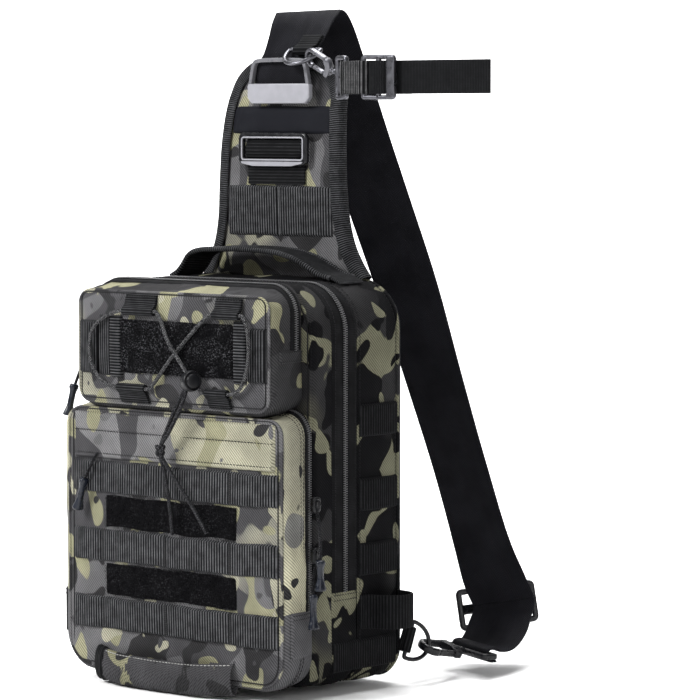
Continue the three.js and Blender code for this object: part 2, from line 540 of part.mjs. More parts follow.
// Snap hooks: drawn flat with the eye end at the origin and the curved end towards +X, the gate on the +Y side
function snapHook({ length, half, bar, hinge, tip, depth, shank }) {
  const inner = half - bar;
  const end = length - half;
  const body = plate([
    ...[[0, -bar], [bar, -half]].map(([x, y]) => new THREE.Vector2(x, y)),
    ...arc(end, 0, half, -90, 90, 8), new THREE.Vector2(tip, half), new THREE.Vector2(tip, inner),
    ...arc(end, 0, inner, 90, -90, 8), new THREE.Vector2(hinge, -inner), new THREE.Vector2(hinge - inner * 0.5, 0),
    new THREE.Vector2(hinge, inner), new THREE.Vector2(hinge, half), new THREE.Vector2(bar, half), new THREE.Vector2(0, bar),
  ], [], depth, 0.7);
  const stem = new THREE.CylinderGeometry(depth * 0.45, depth * 0.45, shank + 1, 8).rotateZ(Math.PI / 2).translate((1 - shank) / 2, 0, 0);
  const heel = bar / 2 - GAP;
  const pivot = new THREE.Vector2(hinge + heel + 0.5, half - bar / 2);
  const gate = plate([
    ...arc(pivot.x, pivot.y, heel, 90, 270, 4), new THREE.Vector2(tip - 0.4, pivot.y - heel), new THREE.Vector2(tip - 0.4, pivot.y + heel),
  ], [], depth - 1, 0.4);
  return { body: joined(body, stem), gate };
}

// A D-shaped ring, drawn with its straight bar along X through the origin and its bow towards +Y
const BOW_START = 2;
function ringD({ half, reach, wire }) {
  const bow = (grow) => [
    ...arc(0, 0, 1, 0, 180, 10).map((p) => new THREE.Vector2(p.x * (half + grow), BOW_START + p.y * (reach - BOW_START + grow))),
    new THREE.Vector2(-half - grow, -grow), new THREE.Vector2(half + grow, -grow),
  ];
  return plate(bow(wire / 2), [bow(-wire / 2)], wire, 0.9);
}

const squareTo = (v, axis) => v.clone().addScaledVector(axis, -v.dot(axis)).normalize();
// Where the eye end of a hook lies when its curved end holds a ring at an angle of the bow
const HOOK_SLACK = 1.7;
function hookedOn(ring, degrees, hook, u) {
  const a = THREE.MathUtils.degToRad(degrees);
  return ring.at.clone().addScaledVector(ring.bar, ring.half * Math.cos(a))
    .addScaledVector(squareTo(ring.out, ring.bar), BOW_START + (ring.reach - BOW_START) * Math.sin(a))
    .addScaledVector(u, hook.bar + ring.wire / 2 + HOOK_SLACK - hook.length);
}

// Side ring in a folded tab at the rear seam, low on the right, with the sling's hook
const TAB_EYE = 2.7;
const EYE_TAB_CLOTH = 1.3;
const SIDE_RING = { at: V(113.6, 4.4, 28), bar: V(0, 0.4, 0.92).normalize(), out: V(0.25, 0.85, -0.45), half: 14.5, reach: 20, wire: 3.4 };
{
  const towardBody = squareTo(V(-0.92, -0.39, 0), SIDE_RING.bar);
  add('side_ring_tab', 'webbing', placed(foldedTab(TAB_EYE, EYE_TAB_CLOTH, 6.4, 20), SIDE_RING.at,
    V(0, 0, 0).crossVectors(towardBody, SIDE_RING.bar), towardBody));
  add('side_ring', 'plastic', placed(ringD(SIDE_RING), SIDE_RING.at, SIDE_RING.bar, SIDE_RING.out));
}

const LOWER_HOOK = { length: 44, half: 10, bar: 4, hinge: 11, tip: 33, depth: 6, shank: 9 };
const LOWER_HOOK_U = V(0.03, -0.985, 0.17).normalize();
const LOWER_HOOK_V = V(0.915, -0.04, -0.4);
const LOWER_HOOK_AT = hookedOn(SIDE_RING, 90, LOWER_HOOK, LOWER_HOOK_U);
const HOOK_BASE_CENTRE = LOWER_HOOK_AT.clone().addScaledVector(LOWER_HOOK_U, -LOWER_HOOK.shank - HOOK_BASE.clear - HOOK_BASE.height / 2);
{
  const { body, gate } = snapHook(LOWER_HOOK);
  add('lower_hook', 'plastic', placed(body, LOWER_HOOK_AT, LOWER_HOOK_U, LOWER_HOOK_V));
  add('lower_hook_gate', 'plastic', placed(gate, LOWER_HOOK_AT, LOWER_HOOK_U, LOWER_HOOK_V));
  const slot = rectPoints(HOOK_BASE.width - 2 * HOOK_BASE.bar, HOOK_BASE.height - 2 * HOOK_BASE.bar, 1.5);
  add('lower_hook_base', 'plastic', placed(
    plate(rectPoints(HOOK_BASE.width, HOOK_BASE.height, 4), [slot], HOOK_BASE.depth, 0.8),
    HOOK_BASE_CENTRE, HOOK_BASE.across, V(0.3, 0.95, -0.08)));
}
// The strap's end around the bar of the hook's base: [distance behind the bar, height over it]
const BAR_WRAP = [[9, 2.4], [4, 4.6], [0, 5], [-3.6, 3.9], [-4.5, 0.4], [-3.8, -3.6], [0, -5], [4, -4.9], [9.5, -4], [15.5, -2.6]];
{
  const back = V(-HOOK_BASE.across.y, HOOK_BASE.across.x, 0).normalize();
  const bar = HOOK_BASE_CENTRE.clone().addScaledVector(back, (HOOK_BASE.height - HOOK_BASE.bar) / 2);
  const wrap = BAR_WRAP.map(([behind, up]) => {
    const p = bar.clone().addScaledVector(back, behind).add(V(0, 0, up));
    return [...p.toArray(), ...HOOK_BASE.across.toArray(), 25];
  });
  add('lower_strap', 'webbing', strap([...LOWER_STRAP, ...wrap], WEBBING));
}

// Ring at the shoulder in a folded tab sewn to the sling strap, with the rod strap's hook
const D_RING = { at: V(21, -9.5, 482), bar: V(1, 0, 0), out: V(0.15, -0.8, -0.55), half: 16, reach: 19, wire: 3.4 };
{
  const neck = V(0, 0.66, 0.75);
  add('ring_tab', 'webbing', placed(foldedTab(TAB_EYE, EYE_TAB_CLOTH, 15, 20), D_RING.at,
    V(0, 0, 0).crossVectors(neck, D_RING.bar), neck));
  add('d_ring', 'plate', placed(ringD(D_RING), D_RING.at, D_RING.bar, D_RING.out));
}
const ROD_HOOK = { length: 31, half: 8, bar: 3.2, hinge: 7.5, tip: 22, depth: 4.6, shank: 4.6 };
const ROD_HOOK_U = V(-0.9, 0.1, 0.42).normalize();
const ROD_HOOK_V = V(-0.366, 0.34, -0.865);
const ROD_HOOK_AT = hookedOn(D_RING, 30, ROD_HOOK, ROD_HOOK_U);
{
  const { body, gate } = snapHook(ROD_HOOK);
  add('rod_hook', 'plate', placed(body, ROD_HOOK_AT, ROD_HOOK_U, ROD_HOOK_V));
  add('rod_hook_gate', 'plate', placed(gate, ROD_HOOK_AT, ROD_HOOK_U, ROD_HOOK_V));
}
const ROD_STRAP_Z = 460;
const ROD_BASE = { width: 34, height: 13.5, bar: 3.6, depth: 4, along: V(1, -0.2, 0).normalize(), clear: 1.4 };
const ROD_STEM_END = ROD_HOOK_AT.clone().addScaledVector(ROD_HOOK_U, -ROD_HOOK.shank);
const ROD_BASE_CENTRE = ROD_STEM_END.clone().addScaledVector(ROD_BASE.along, ROD_BASE.clear + ROD_BASE.height / 2).setZ(ROD_STRAP_Z);
add('rod_hook_base', 'plate', placed(
  plate(rectPoints(ROD_BASE.width, ROD_BASE.height, 3.5),
    [rectPoints(ROD_BASE.width - 2 * ROD_BASE.bar, ROD_BASE.height - 2 * ROD_BASE.bar, 1.2)], ROD_BASE.depth, 0.7),
  ROD_BASE_CENTRE, V(0, 0, 1), ROD_BASE.along));

// Rod strap: a short doubled run from the hook to the buckle, then a loop for the rod and a free end
const ROD_BUCKLE = { x: 117, y: -36.5, width: 33, height: 34, slot: 10, bar: 4 };
add('rod_strap_buckle', 'plate', placed(
  plate(rectPoints(ROD_BUCKLE.height, ROD_BUCKLE.width, 3.5), [-1, 1].map((side) =>
    moved(rectPoints(26.6, ROD_BUCKLE.slot, 1, 1), 0, side * (ROD_BUCKLE.slot + ROD_BUCKLE.bar) / 2)), 3.6, 0.7),
  V(ROD_BUCKLE.x, ROD_BUCKLE.y, ROD_STRAP_Z), V(0, 0, 1), V(1, 0, 0)));
const ROD_WEB = 1.5;
const ROD_BASE_BAR = ROD_BASE_CENTRE.clone().addScaledVector(ROD_BASE.along, (ROD_BASE.height - ROD_BASE.bar) / 2);
const ANCHOR_PATH = [
  ...[[0.85, -3.3], [-2.35, -2.6], [-3.65, 0], [-2.35, 2.8], [0.65, 3.6]].map(([x, y]) => [ROD_BASE_BAR.x + x, ROD_BASE_BAR.y + y]),
  [99, -31.6], [103, -33.4], [106, -34.6], [106.4, -37], [104.6, -39.5], [101.4, -39.7], [96.5, -37.6],
];
const ROD_STRAP_PATH = [
  [93, -29.2], [101.5, -26.5], [106, -18], [113, -12], [121, -10], [129, -12.4], [133.6, -18.5], [133, -25.5], [127, -30], [117, -31.4], [110.6, -32.6],
  [109, -36.4], [111, -39.4], [117, -40.6], [123, -39.4], [125.8, -36.4], [127.6, -34.2], [133, -32.8], [146, -33.2], [170, -34.5], [198, -35], [222, -35],
];
add('rod_strap', 'webbing', joined(
  levelStrap(ANCHOR_PATH, ROD_STRAP_Z, 12.6, ROD_WEB, { closed: true }),
  levelStrap(ROD_STRAP_PATH, ROD_STRAP_Z, 12.6, ROD_WEB)));

// Zip pulls: a slider, a loop of cord and a moulded grip hanging from it
const PULL_CORD = 1.4;
function zipPull({ slider, cord, grip }) {
  const [gripTop, gripEnd] = grip;
  const length = gripTop.distanceTo(gripEnd);
  const profile = [[0, 0], [3.4, 0], [4.2, 3], [3, 8], [3, length - 9], [4.6, length - 5], [3.6, length], [0, length]]
    .map(([r, h]) => new THREE.Vector2(r, h));
  const body = new THREE.LatheGeometry(profile, 7);
  const turn = new THREE.Quaternion().setFromUnitVectors(V(0, 1, 0), gripEnd.clone().sub(gripTop).normalize());
  body.applyQuaternion(turn).translate(...gripTop.toArray());
  const parts = [tube(cord, PULL_CORD, 6, 6), body];
  if (slider) parts.push(new THREE.BoxGeometry(4, 8, 12).translate(...slider.toArray()));
  return joined(...parts);
}
add('zip_pull_1', 'plastic', zipPull({
  slider: V(115.4, -108, 142), cord: [V(116.6, -108, 139), V(122, -110.8, 122), V(124.4, -113, 100)],
  grip: [V(124.4, -113, 102), V(124.4, -113, 79)],
}));
add('zip_pull_2', 'plastic', zipPull({
  slider: V(115.4, -108, 104), cord: [V(116.6, -108.5, 101), V(116.9, -112.5, 88), V(118.6, -115, 73)],
  grip: [V(118.6, -115, 76), V(120, -115.5, 50)],
}));
add('zip_pull_3', 'plastic', zipPull({
  cord: [V(-78, -141.3, 171.5), V(-82, -142.8, 164), V(-89, -144.6, 150)], grip: [V(-88.6, -144.5, 151.5), V(-96.5, -144.4, 127)],
}));
add('zip_pull_4', 'plastic', zipPull({
  slider: V(-102.6, -108, 266), cord: [V(-104, -109, 263), V(-112, -118, 244), V(-119, -125, 219)],
  grip: [V(-118.6, -124.6, 222), V(-122.5, -128, 197)],
}));

// The origin: underside of the sling strap at the top of its arch
const HANG = V(-2.6, 22, 513.2 - WEBBING / 2);
root.children.forEach((mesh) => mesh.position.sub(HANG));

export default root;
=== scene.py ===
"""A camouflage sling bag for fishing: its cloth, webbing, zippers, cords and hardware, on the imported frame.

Tables are in millimetres in the bag's own frame: X to the right seen from the front, the front towards -Y,
Z up from the bottom, with the back panel near Y = 0. to_part() moves them into the frame of the part.
"""
import math

import bpy
import numpy as np
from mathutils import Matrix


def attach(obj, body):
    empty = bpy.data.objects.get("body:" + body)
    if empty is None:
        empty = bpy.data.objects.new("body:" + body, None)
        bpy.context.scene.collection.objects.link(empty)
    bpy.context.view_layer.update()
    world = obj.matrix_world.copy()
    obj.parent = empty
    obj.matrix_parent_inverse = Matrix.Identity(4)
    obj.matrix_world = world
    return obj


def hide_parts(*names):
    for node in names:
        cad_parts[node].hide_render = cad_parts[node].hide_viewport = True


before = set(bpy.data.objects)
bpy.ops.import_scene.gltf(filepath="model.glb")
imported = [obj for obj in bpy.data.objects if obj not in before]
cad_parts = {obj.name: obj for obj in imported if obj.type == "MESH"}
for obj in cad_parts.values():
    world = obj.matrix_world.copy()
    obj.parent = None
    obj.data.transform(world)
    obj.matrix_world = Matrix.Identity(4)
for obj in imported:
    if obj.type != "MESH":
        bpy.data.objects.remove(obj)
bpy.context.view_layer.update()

MM = 0.001
HANG = np.array((-2.6, 22.0, 512.3))
BAG = "bag"
TURN = 2 * math.pi
RIGHT, BEHIND, UP = np.eye(3)
FRONT = np.array((0.0, -1.0, 0.0))


def to_part(points):
    return (np.asarray(points, float) - HANG) * MM


def unit(vectors):
    vectors = np.asarray(vectors, float)
    return vectors / np.maximum(np.linalg.norm(vectors, axis=-1, keepdims=True), 1e-9)


def smooth(t):
    t = np.clip(t, 0, 1)
    return t * t * (3 - 2 * t)


WAVES = 8


def ripple(points, size, seed):
    """Smooth seeded unevenness of about unit height, with bumps of that size in mm."""
    random = np.random.default_rng(seed)
    total = np.zeros(points.shape[:-1])
    for _ in range(WAVES):
        way = unit(random.normal(size=3)) * TURN / (size * random.uniform(0.8, 1.7))
        total += np.sin(points @ way + random.uniform(0, TURN))
    return total / math.sqrt(WAVES)


# Camera, at the photograph's angle

PHOTO_WIDTH = 700
FOCAL_PIXELS = 3430
SENSOR = 36
CAMERA_AT = (1766.3, -2035.7, 430.7)
CAMERA_AZIMUTH = 40
CAMERA_PITCH = 3.9

camera = bpy.data.objects.new("camera", bpy.data.cameras.new("camera"))
bpy.context.scene.collection.objects.link(camera)
camera.data.sensor_width = SENSOR
camera.data.lens = SENSOR * FOCAL_PIXELS / PHOTO_WIDTH
camera.data.clip_end = 50
camera.location = to_part(CAMERA_AT)
camera.rotation_euler = (math.radians(90 - CAMERA_PITCH), 0, math.radians(CAMERA_AZIMUTH))
bpy.context.scene.camera = camera


# Materials


class Shader:
    """A node material in the making. Vectors are in millimetres."""

    def __init__(self, name, slot, roughness, specular=0.05, metallic=0.0):
        self.material = bpy.data.materials.new(name)
        self.material.use_nodes = True
        self.tree = self.material.node_tree
        self.bsdf = self.tree.nodes["Principled BSDF"]
        self.bsdf.inputs["Roughness"].default_value = roughness
        self.bsdf.inputs["Specular IOR Level"].default_value = specular
        self.bsdf.inputs["Metallic"].default_value = metallic

    def node(self, kind, inputs, **settings):
        node = self.tree.nodes.new(kind)
        for key, value in settings.items():
            setattr(node, key, value)
        for key, value in inputs.items():
            if isinstance(value, bpy.types.NodeSocket):
                self.tree.links.new(value, node.inputs[key])
            else:
                node.inputs[key].default_value = value
        return node

    def place(self, shift=(0, 0, 0), scale=(1, 1, 1)):
        """Where a point lies in the part."""
        source = self.node("ShaderNodeTexCoord", {}).outputs["Object"]
        size = tuple(s / MM for s in scale)
        return self.node("ShaderNodeMapping", {"Vector": source, "Location": shift, "Scale": size}).outputs[0]

    def weave(self):
        """How far a point lies along and across its cloth."""
        source = self.node("ShaderNodeTexCoord", {}).outputs["UV"]
        parts = self.node("ShaderNodeSeparateXYZ", {"Vector": source})
        return parts.outputs[0], parts.outputs[1]

    def math(self, operation, a, b=0.0, c=0.0):
        return self.node("ShaderNodeMath", {0: a, 1: b, 2: c}, operation=operation).outputs[0]

    def wave(self, along, pitch):
        """From 0 to 1 and back over each pitch."""
        turned = self.math("MULTIPLY", along, TURN / pitch)
        return self.math("MULTIPLY_ADD", self.math("COSINE", turned), 0.5, 0.5)

    def noise(self, vector, size, detail, distortion=0.0):
        inputs = {"Vector": vector, "Scale": 1 / size, "Detail": detail, "Distortion": distortion}
        return self.node("ShaderNodeTexNoise", inputs).outputs["Fac"]

    def between(self, value, low, high):
        inputs = {"Value": value, "From Min": low, "From Max": high}
        return self.node("ShaderNodeMapRange", inputs, interpolation_type="SMOOTHSTEP").outputs["Result"]

    def mix(self, share, a, b, blend="MIX"):
        a, b = (c if isinstance(c, bpy.types.NodeSocket) else (*c, 1) for c in (a, b))
        inputs = {0: share, 6: a, 7: b}
        return self.node("ShaderNodeMix", inputs, data_type="RGBA", blend_type=blend).outputs[2]

    def paint(self, colour, height=None, depth=0.2, rough=None):
        """Colour, relief of that depth in mm, and uneven roughness."""
        self.tree.links.new(colour, self.bsdf.inputs["Base Color"])
        if rough is not None:
            self.tree.links.new(rough, self.bsdf.inputs["Roughness"])
        if height is not None:
            bump = self.node("ShaderNodeBump", {"Height": height, "Distance": depth * MM, "Strength": 1.0})
            self.tree.links.new(bump.outputs[0], self.bsdf.inputs["Normal"])
        return self.material


GREY = (0.125, 0.1235, 0.128)
GREY_LIGHT = (0.2, 0.198, 0.188)
GREY_FLAP = (0.175, 0.173, 0.177)
KHAKI = (0.262, 0.254, 0.166)
KHAKI_PALE = (0.32, 0.31, 0.237)
KHAKI_FLAP = (0.34, 0.33, 0.247)
KHAKI_WALL = (0.5, 0.48, 0.35)
# Khaki darkened for the sides of the body: partly darker cloth, partly painted shade where they face away
# from the key light
KHAKI_SHADED = (0.2, 0.196, 0.136)
SLATE = (0.064, 0.063, 0.067)
# Slate darkened as painted shade for the upper pocket's walls
SLATE_SHADED = (0.045, 0.0445, 0.0465)
CHARCOAL = (0.032, 0.0315, 0.033)
INK = (0.006, 0.006, 0.007)
TWILL_PITCH = 2.5
TWILL_DEPTH = 0.3
TWILL_SHARE = 0.7
# From where to where the weave darkens its cloth
TWILL_SHADE = (0.02, 0.8)


def twill(shader):
    """Diagonal weave, 0 to 1, with uneven yarns."""
    along, across = shader.weave()
    diagonal = shader.wave(shader.math("ADD", along, across), TWILL_PITCH)
    yarns = shader.math("MULTIPLY", shader.noise(shader.place(), 1.3, 1.0), 1 - TWILL_SHARE)
    return shader.math("MULTIPLY_ADD", diagonal, TWILL_SHARE, yarns)


# Blobs of the camouflage: size in mm, share of noise they start at, colour, how far their edges bend
BLOBS_FRONT = [
    (40, 0.53, SLATE, 0.35), (30, 0.6, KHAKI, 0.3), (25, 0.62, CHARCOAL, 0.25), (18, 0.69, KHAKI_PALE, 0.2),
    (12, 0.72, SLATE, 0.0),
]
BLOBS_FLAP = [(38, 0.6, SLATE, 0.3), (34, 0.63, KHAKI, 0.3), (26, 0.7, CHARCOAL, 0.2), (13, 0.7, GREY, 0.0)]
BLOBS_WALL = [(44, 0.66, GREY_LIGHT, 0.3), (22, 0.67, CHARCOAL, 0.2), (13, 0.70, CHARCOAL, 0.0)]
BLOBS_DARK = [(30, 0.53, CHARCOAL, 0.3), (27, 0.59, KHAKI, 0.3), (18, 0.66, CHARCOAL, 0.2)]
BLOBS_SLEEVE = [(34, 0.66, KHAKI, 0.3), (26, 0.6, CHARCOAL, 0.3)]
BLOBS_SHELL = [
    (38, 0.50, INK, 0.4), (29, 0.6, KHAKI_SHADED, 0.35), (19, 0.62, INK, 0.3), (20, 0.70, KHAKI_SHADED, 0.3),
]
BLOBS_SIDE = [
    (38, 0.57, KHAKI_SHADED, 0.35), (30, 0.55, INK, 0.4), (20, 0.63, INK, 0.3), (20, 0.68, KHAKI_SHADED, 0.3),
]
BLOBS_PAD = [
    (40, 0.52, SLATE, 0.4), (31, 0.63, KHAKI, 0.35), (26, 0.6, CHARCOAL, 0.4), (18, 0.69, KHAKI, 0.3),
]
BLOB_EDGE = 0.012
BLOB_SHIFT = 173.0
CAMO_SCALE = (1, 1, 0.9)
TINT_SIZE = 105
FADE_SIZE = 26
# A wavy border between two tints: size and height of its waves, width of its edge
BORDER_WAVE, BORDER_SWAY, BORDER_EDGE = 34, 70, 1.5


def camo(name, shift, blobs, base=GREY, pale=KHAKI_PALE, turn_pale=(0.45, 0.62), pale_from=None,
         slot="camo_cloth"):
    """Camouflage cloth: one tint turns into another, with crisp blobs over both, on a diagonal weave.

    The second tint comes where broad noise is high, or past a wavy line at pale_from along the cloth.
    """
    shader = Shader(name, slot, roughness=0.85)
    point = shader.place(shift=shift, scale=CAMO_SCALE)
    if pale_from is None:
        turned = shader.between(shader.noise(point, TINT_SIZE, 1.0), *turn_pale)
    else:
        sway = shader.noise(point, BORDER_WAVE, 1.0)
        along = shader.math("MULTIPLY_ADD", sway, BORDER_SWAY, shader.weave()[0])
        border = pale_from + BORDER_SWAY / 2
        turned = shader.between(along, border, border + BORDER_EDGE)
    colour = shader.mix(turned, base, pale)
    for index, (size, start, tint, bend) in enumerate(blobs):
        moved = shader.place(shift=tuple(s + BLOB_SHIFT * (index + 1) for s in shift), scale=CAMO_SCALE)
        share = shader.between(shader.noise(moved, size, 0.3, bend), start, start + BLOB_EDGE)
        colour = shader.mix(share, colour, tint)
    weave = twill(shader)
    colour = shader.mix(0.62, colour, shader.between(weave, *TWILL_SHADE), blend="MULTIPLY")
    faded = shader.between(shader.noise(point, FADE_SIZE, 3.0), 0.3, 0.75)
    colour = shader.mix(0.3, colour, faded, blend="MULTIPLY")
    rough = shader.math("MULTIPLY_ADD", faded, 0.12, 0.78)
    return shader.paint(colour, weave, TWILL_DEPTH, rough)


def plain_cloth(name, tint):
    shader = Shader(name, "camo_cloth", roughness=0.85)
    weave = twill(shader)
    patchy = shader.between(shader.noise(shader.place(), 18, 3.0), 0.3, 0.7)
    colour = shader.mix(patchy, tuple(c * 0.78 for c in tint), tint)
    colour = shader.mix(0.6, colour, shader.between(weave, *TWILL_SHADE), blend="MULTIPLY")
    return shader.paint(colour, weave, TWILL_DEPTH)


WEB_DARK = (0.003, 0.0031, 0.0035)
# Painted highlight on the crests of the ribs
WEB_CREST_HIGHLIGHT = (0.135, 0.137, 0.144)
# Pitch of the ribs of each webbing
RIB = 2.5
BAND_RIB = 2.3
FINE_RIB = 1.8
BINDING_RIB = 1.7
COARSE_RIB = 3.2
ROD_RIB = 1.5
# Pitch of the yarns across a webbing, and of the strands of a braid
YARN = 1.1
BRAID = 1.6


def ribbed(name, pitch=RIB, light=WEB_CREST_HIGHLIGHT):
    """Webbing whose ribs stand across its length, with a painted highlight on each crest, brighter where
    worn.
    """
    shader = Shader(name, "webbing", roughness=0.75)
    along, across = shader.weave()
    crest = shader.wave(along, pitch)
    yarn = shader.wave(across, YARN)
    worn = shader.between(shader.noise(shader.place(), 7, 4.0), 0.2, 0.75)
    share = shader.math("MULTIPLY_ADD", worn, 0.65, 0.35)
    # The rib crests carry a painted highlight, stronger in worn patches
    share = shader.math("MULTIPLY", shader.math("POWER", crest, 2.4), share)
    share = shader.math("MULTIPLY", share, shader.math("MULTIPLY_ADD", yarn, 0.45, 0.55))
    height = shader.math("MULTIPLY_ADD", yarn, 0.4, shader.math("MULTIPLY", crest, 0.8))
    return shader.paint(shader.mix(share, WEB_DARK, light), height, 0.25)


def chevron(name, slot, dark, light, pitch=1.7, depth=0.2):
    """Smooth strap webbing with fine slanting lines that turn back at each band."""
    shader = Shader(name, slot, roughness=0.7)
    along, across = shader.weave()
    fold = shader.math("PINGPONG", across, 6.0)
    line = shader.wave(shader.math("ADD", along, fold), pitch)
    worn = shader.between(shader.noise(shader.place(), 22, 4.0), 0.25, 0.75)
    share = shader.math("MULTIPLY", line, shader.math("MULTIPLY_ADD", worn, 0.6, 0.25))
    return shader.paint(shader.mix(share, dark, light), line, depth)


def pile(name, dark, light):
    """Black loop pile with paler fibre ends."""
    shader = Shader(name, "loop_pile", roughness=0.95)
    point = shader.place()
    fine = shader.noise(point, 1.2, 2.0)
    broad = shader.noise(point, 12, 3.0)
    share = shader.math("MULTIPLY", shader.between(fine, 0.5, 0.72), shader.between(broad, 0.25, 0.75))
    return shader.paint(shader.mix(share, dark, light), fine, 0.7)


def moulded(name, slot, tint, roughness, metallic=0.0, specular=0.4, wear=0.2):
    """Moulded plastic, cast metal or thread, with a faint grain and rubbed places."""
    shader = Shader(name, slot, roughness, specular, metallic)
    point = shader.place()
    grain = shader.noise(point, 0.7, 2.0)
    rubbed = shader.between(shader.noise(point, 6, 4.0), 0.35, 0.72)
    dull, bright = (tuple(c * (1 + change) for c in tint) for change in (-wear, wear))
    rough = shader.math("MULTIPLY_ADD", rubbed, 0.14, roughness - 0.07)
    return shader.paint(shader.mix(rubbed, dull, bright), grain, 0.03, rough)


def braided(name, dark, light):
    """Round braided cord: crossing strands, some of them grey."""
    shader = Shader(name, "cord", roughness=0.75)
    along, around = shader.weave()
    left = shader.wave(shader.math("ADD", along, around), BRAID)
    right = shader.wave(shader.math("SUBTRACT", along, around), BRAID)
    cross = shader.math("MULTIPLY", left, right)
    fleck = shader.between(shader.noise(shader.place(), 1.3, 1.0), 0.3, 0.66)
    share = shader.math("MULTIPLY", shader.between(cross, 0.2, 0.6), fleck)
    return shader.paint(shader.mix(share, dark, light), shader.math("MAXIMUM", left, right), 0.25)


def tape(name, dark, light):
    """Zipper tape: fine lengthwise ribs."""
    shader = Shader(name, "zipper", roughness=0.8)
    along, across = shader.weave()
    ribs = shader.wave(across, YARN)
    cross = shader.wave(along, 1.3)
    worn = shader.between(shader.noise(shader.place(), 12, 3.0), 0.3, 0.7)
    share = shader.math("MULTIPLY", shader.math("MULTIPLY", ribs, cross), worn)
    return shader.paint(shader.mix(share, dark, light), ribs, 0.15)


CAMO_UPPER = camo("camo_upper", (40, 900, 260), BLOBS_FRONT, turn_pale=(0.52, 0.7))
CAMO_LOWER = camo("camo_lower", (510, 120, 75), BLOBS_FRONT, turn_pale=(0.53, 0.66))
CAMO_FLAP = camo("camo_flap", (310, 620, 410), BLOBS_FLAP, GREY_FLAP, KHAKI_FLAP, pale_from=6)
CAMO_WALL = camo("camo_wall", (720, 330, 990), BLOBS_WALL, KHAKI_WALL, KHAKI_PALE, (0.45, 0.6))
# The upper pocket's walls are darkened as painted shade, for the right wall that faces away from the key
# light
CAMO_UPPER_WALL_SHADED = camo("camo_upper_wall_shaded", (210, 745, 130), BLOBS_DARK, SLATE_SHADED, CHARCOAL, (0.47, 0.5))
# Shell and gussets take darker tints: partly their own darker cloth, partly painted shade
CAMO_SHELL = camo("camo_shell", (660, 280, 350), BLOBS_SHELL, CHARCOAL, KHAKI_SHADED, (0.5, 0.62))
CAMO_BODY = camo("camo_body", (880, 45, 610), BLOBS_SIDE, CHARCOAL, INK, (0.4, 0.5))
CAMO_PAD = camo("camo_pad", (155, 470, 820), BLOBS_PAD, turn_pale=(0.58, 0.7))
CAMO_SLEEVE = camo("camo_sleeve", (430, 610, 520), BLOBS_SLEEVE, SLATE, CHARCOAL, slot="webbing")
CLOTH_DARK = plain_cloth("dark_cloth", (0.095, 0.094, 0.099))
CLOTH_BACK = plain_cloth("back_cloth", (0.022, 0.022, 0.024))
# The last colour of each ribbed webbing is the painted highlight on its rib crests
RIBBED = ribbed("ribbed_webbing")
RIBBED_BROAD = ribbed("ribbed_band", BAND_RIB, (0.09, 0.091, 0.096))
RIBBED_FINE = ribbed("ribbed_fine", FINE_RIB, (0.05, 0.051, 0.054))
RIBBED_DARK = ribbed("ribbed_dark", light=(0.02, 0.0205, 0.022))
RIBBED_BINDING = ribbed("ribbed_binding", BINDING_RIB, (0.085, 0.086, 0.092))
RIBBED_COARSE = ribbed("ribbed_coarse", COARSE_RIB, (0.13, 0.13, 0.134))
STRAP = chevron("strap_webbing", "webbing", (0.003, 0.003, 0.004), (0.016, 0.016, 0.02))
STRAP_ROD = ribbed("rod_webbing", ROD_RIB, (0.016, 0.0165, 0.018))
ELASTIC = chevron("smooth_elastic", "elastic", (0.006, 0.0063, 0.0085), (0.011, 0.0115, 0.0145), 0.9, 0.08)
LOOP_PILE = pile("loop_pile", (0.002, 0.002, 0.0024), (0.075, 0.075, 0.081))
PATCH_PILE = pile("patch_pile", (0.002, 0.002, 0.0024), (0.022, 0.022, 0.024))
PILE_FRINGE = pile("pile_fringe", (0.02, 0.02, 0.021), (0.2, 0.2, 0.205))
PLASTIC = moulded("black_plastic", "black_plastic", (0.006, 0.0062, 0.0075), 0.3, specular=0.25)
GLOSS = moulded("gloss_plastic", "black_plastic", (0.006, 0.0062, 0.0075), 0.36, specular=0.22)
GRIP = moulded("pull_grip", "black_plastic", (0.007, 0.009, 0.015), 0.3, specular=0.3)
PLATE = moulded("grey_plate", "grey_hardware", (0.21, 0.21, 0.23), 0.42, wear=0.04)
BOW = moulded("bow_metal", "grey_hardware", (0.1, 0.1, 0.11), 0.34, wear=0.06)
STEEL = moulded("grey_metal", "grey_hardware", (0.105, 0.105, 0.117), 0.34, metallic=0.9, wear=0.1)
COIL = moulded("zip_coil", "zipper", (0.085, 0.085, 0.088), 0.35)
THREAD = moulded("thread", "webbing", (0.010, 0.010, 0.011), 0.7, specular=0.15)
THREAD_PALE = moulded("pale_thread", "webbing", (0.3, 0.3, 0.29), 0.7, specular=0.15)
CORD_BRAID = braided("cord_braid", (0.012, 0.012, 0.013), (0.21, 0.21, 0.215))
TAIL_BRAID = braided("tail_braid", (0.006, 0.006, 0.007), (0.08, 0.08, 0.085))
ZIP_TAPE = tape("zip_tape", (0.005, 0.005, 0.0055), (0.022, 0.022, 0.024))


# Mesh helpers

def add_mesh(name, points, faces, uv, material, node=None, body=BAG):
    """A piece that rides a body, and may stand in for a node of the part."""
    mesh = bpy.data.meshes.new(name)
    mesh.from_pydata(to_part(points).tolist(), [], [list(map(int, face)) for face in faces])
    layer = mesh.uv_layers.new(name="UVMap")
    layer.data.foreach_set("uv", np.asarray(uv, np.float32).ravel())
    mesh.polygons.foreach_set("use_smooth", [True] * len(mesh.polygons))
    mesh.materials.append(material)
    mesh.update()
    piece = bpy.data.objects.new(name, mesh)
    bpy.context.scene.collection.objects.link(piece)
    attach(piece, body)
    if node:
        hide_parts(node)
    return piece


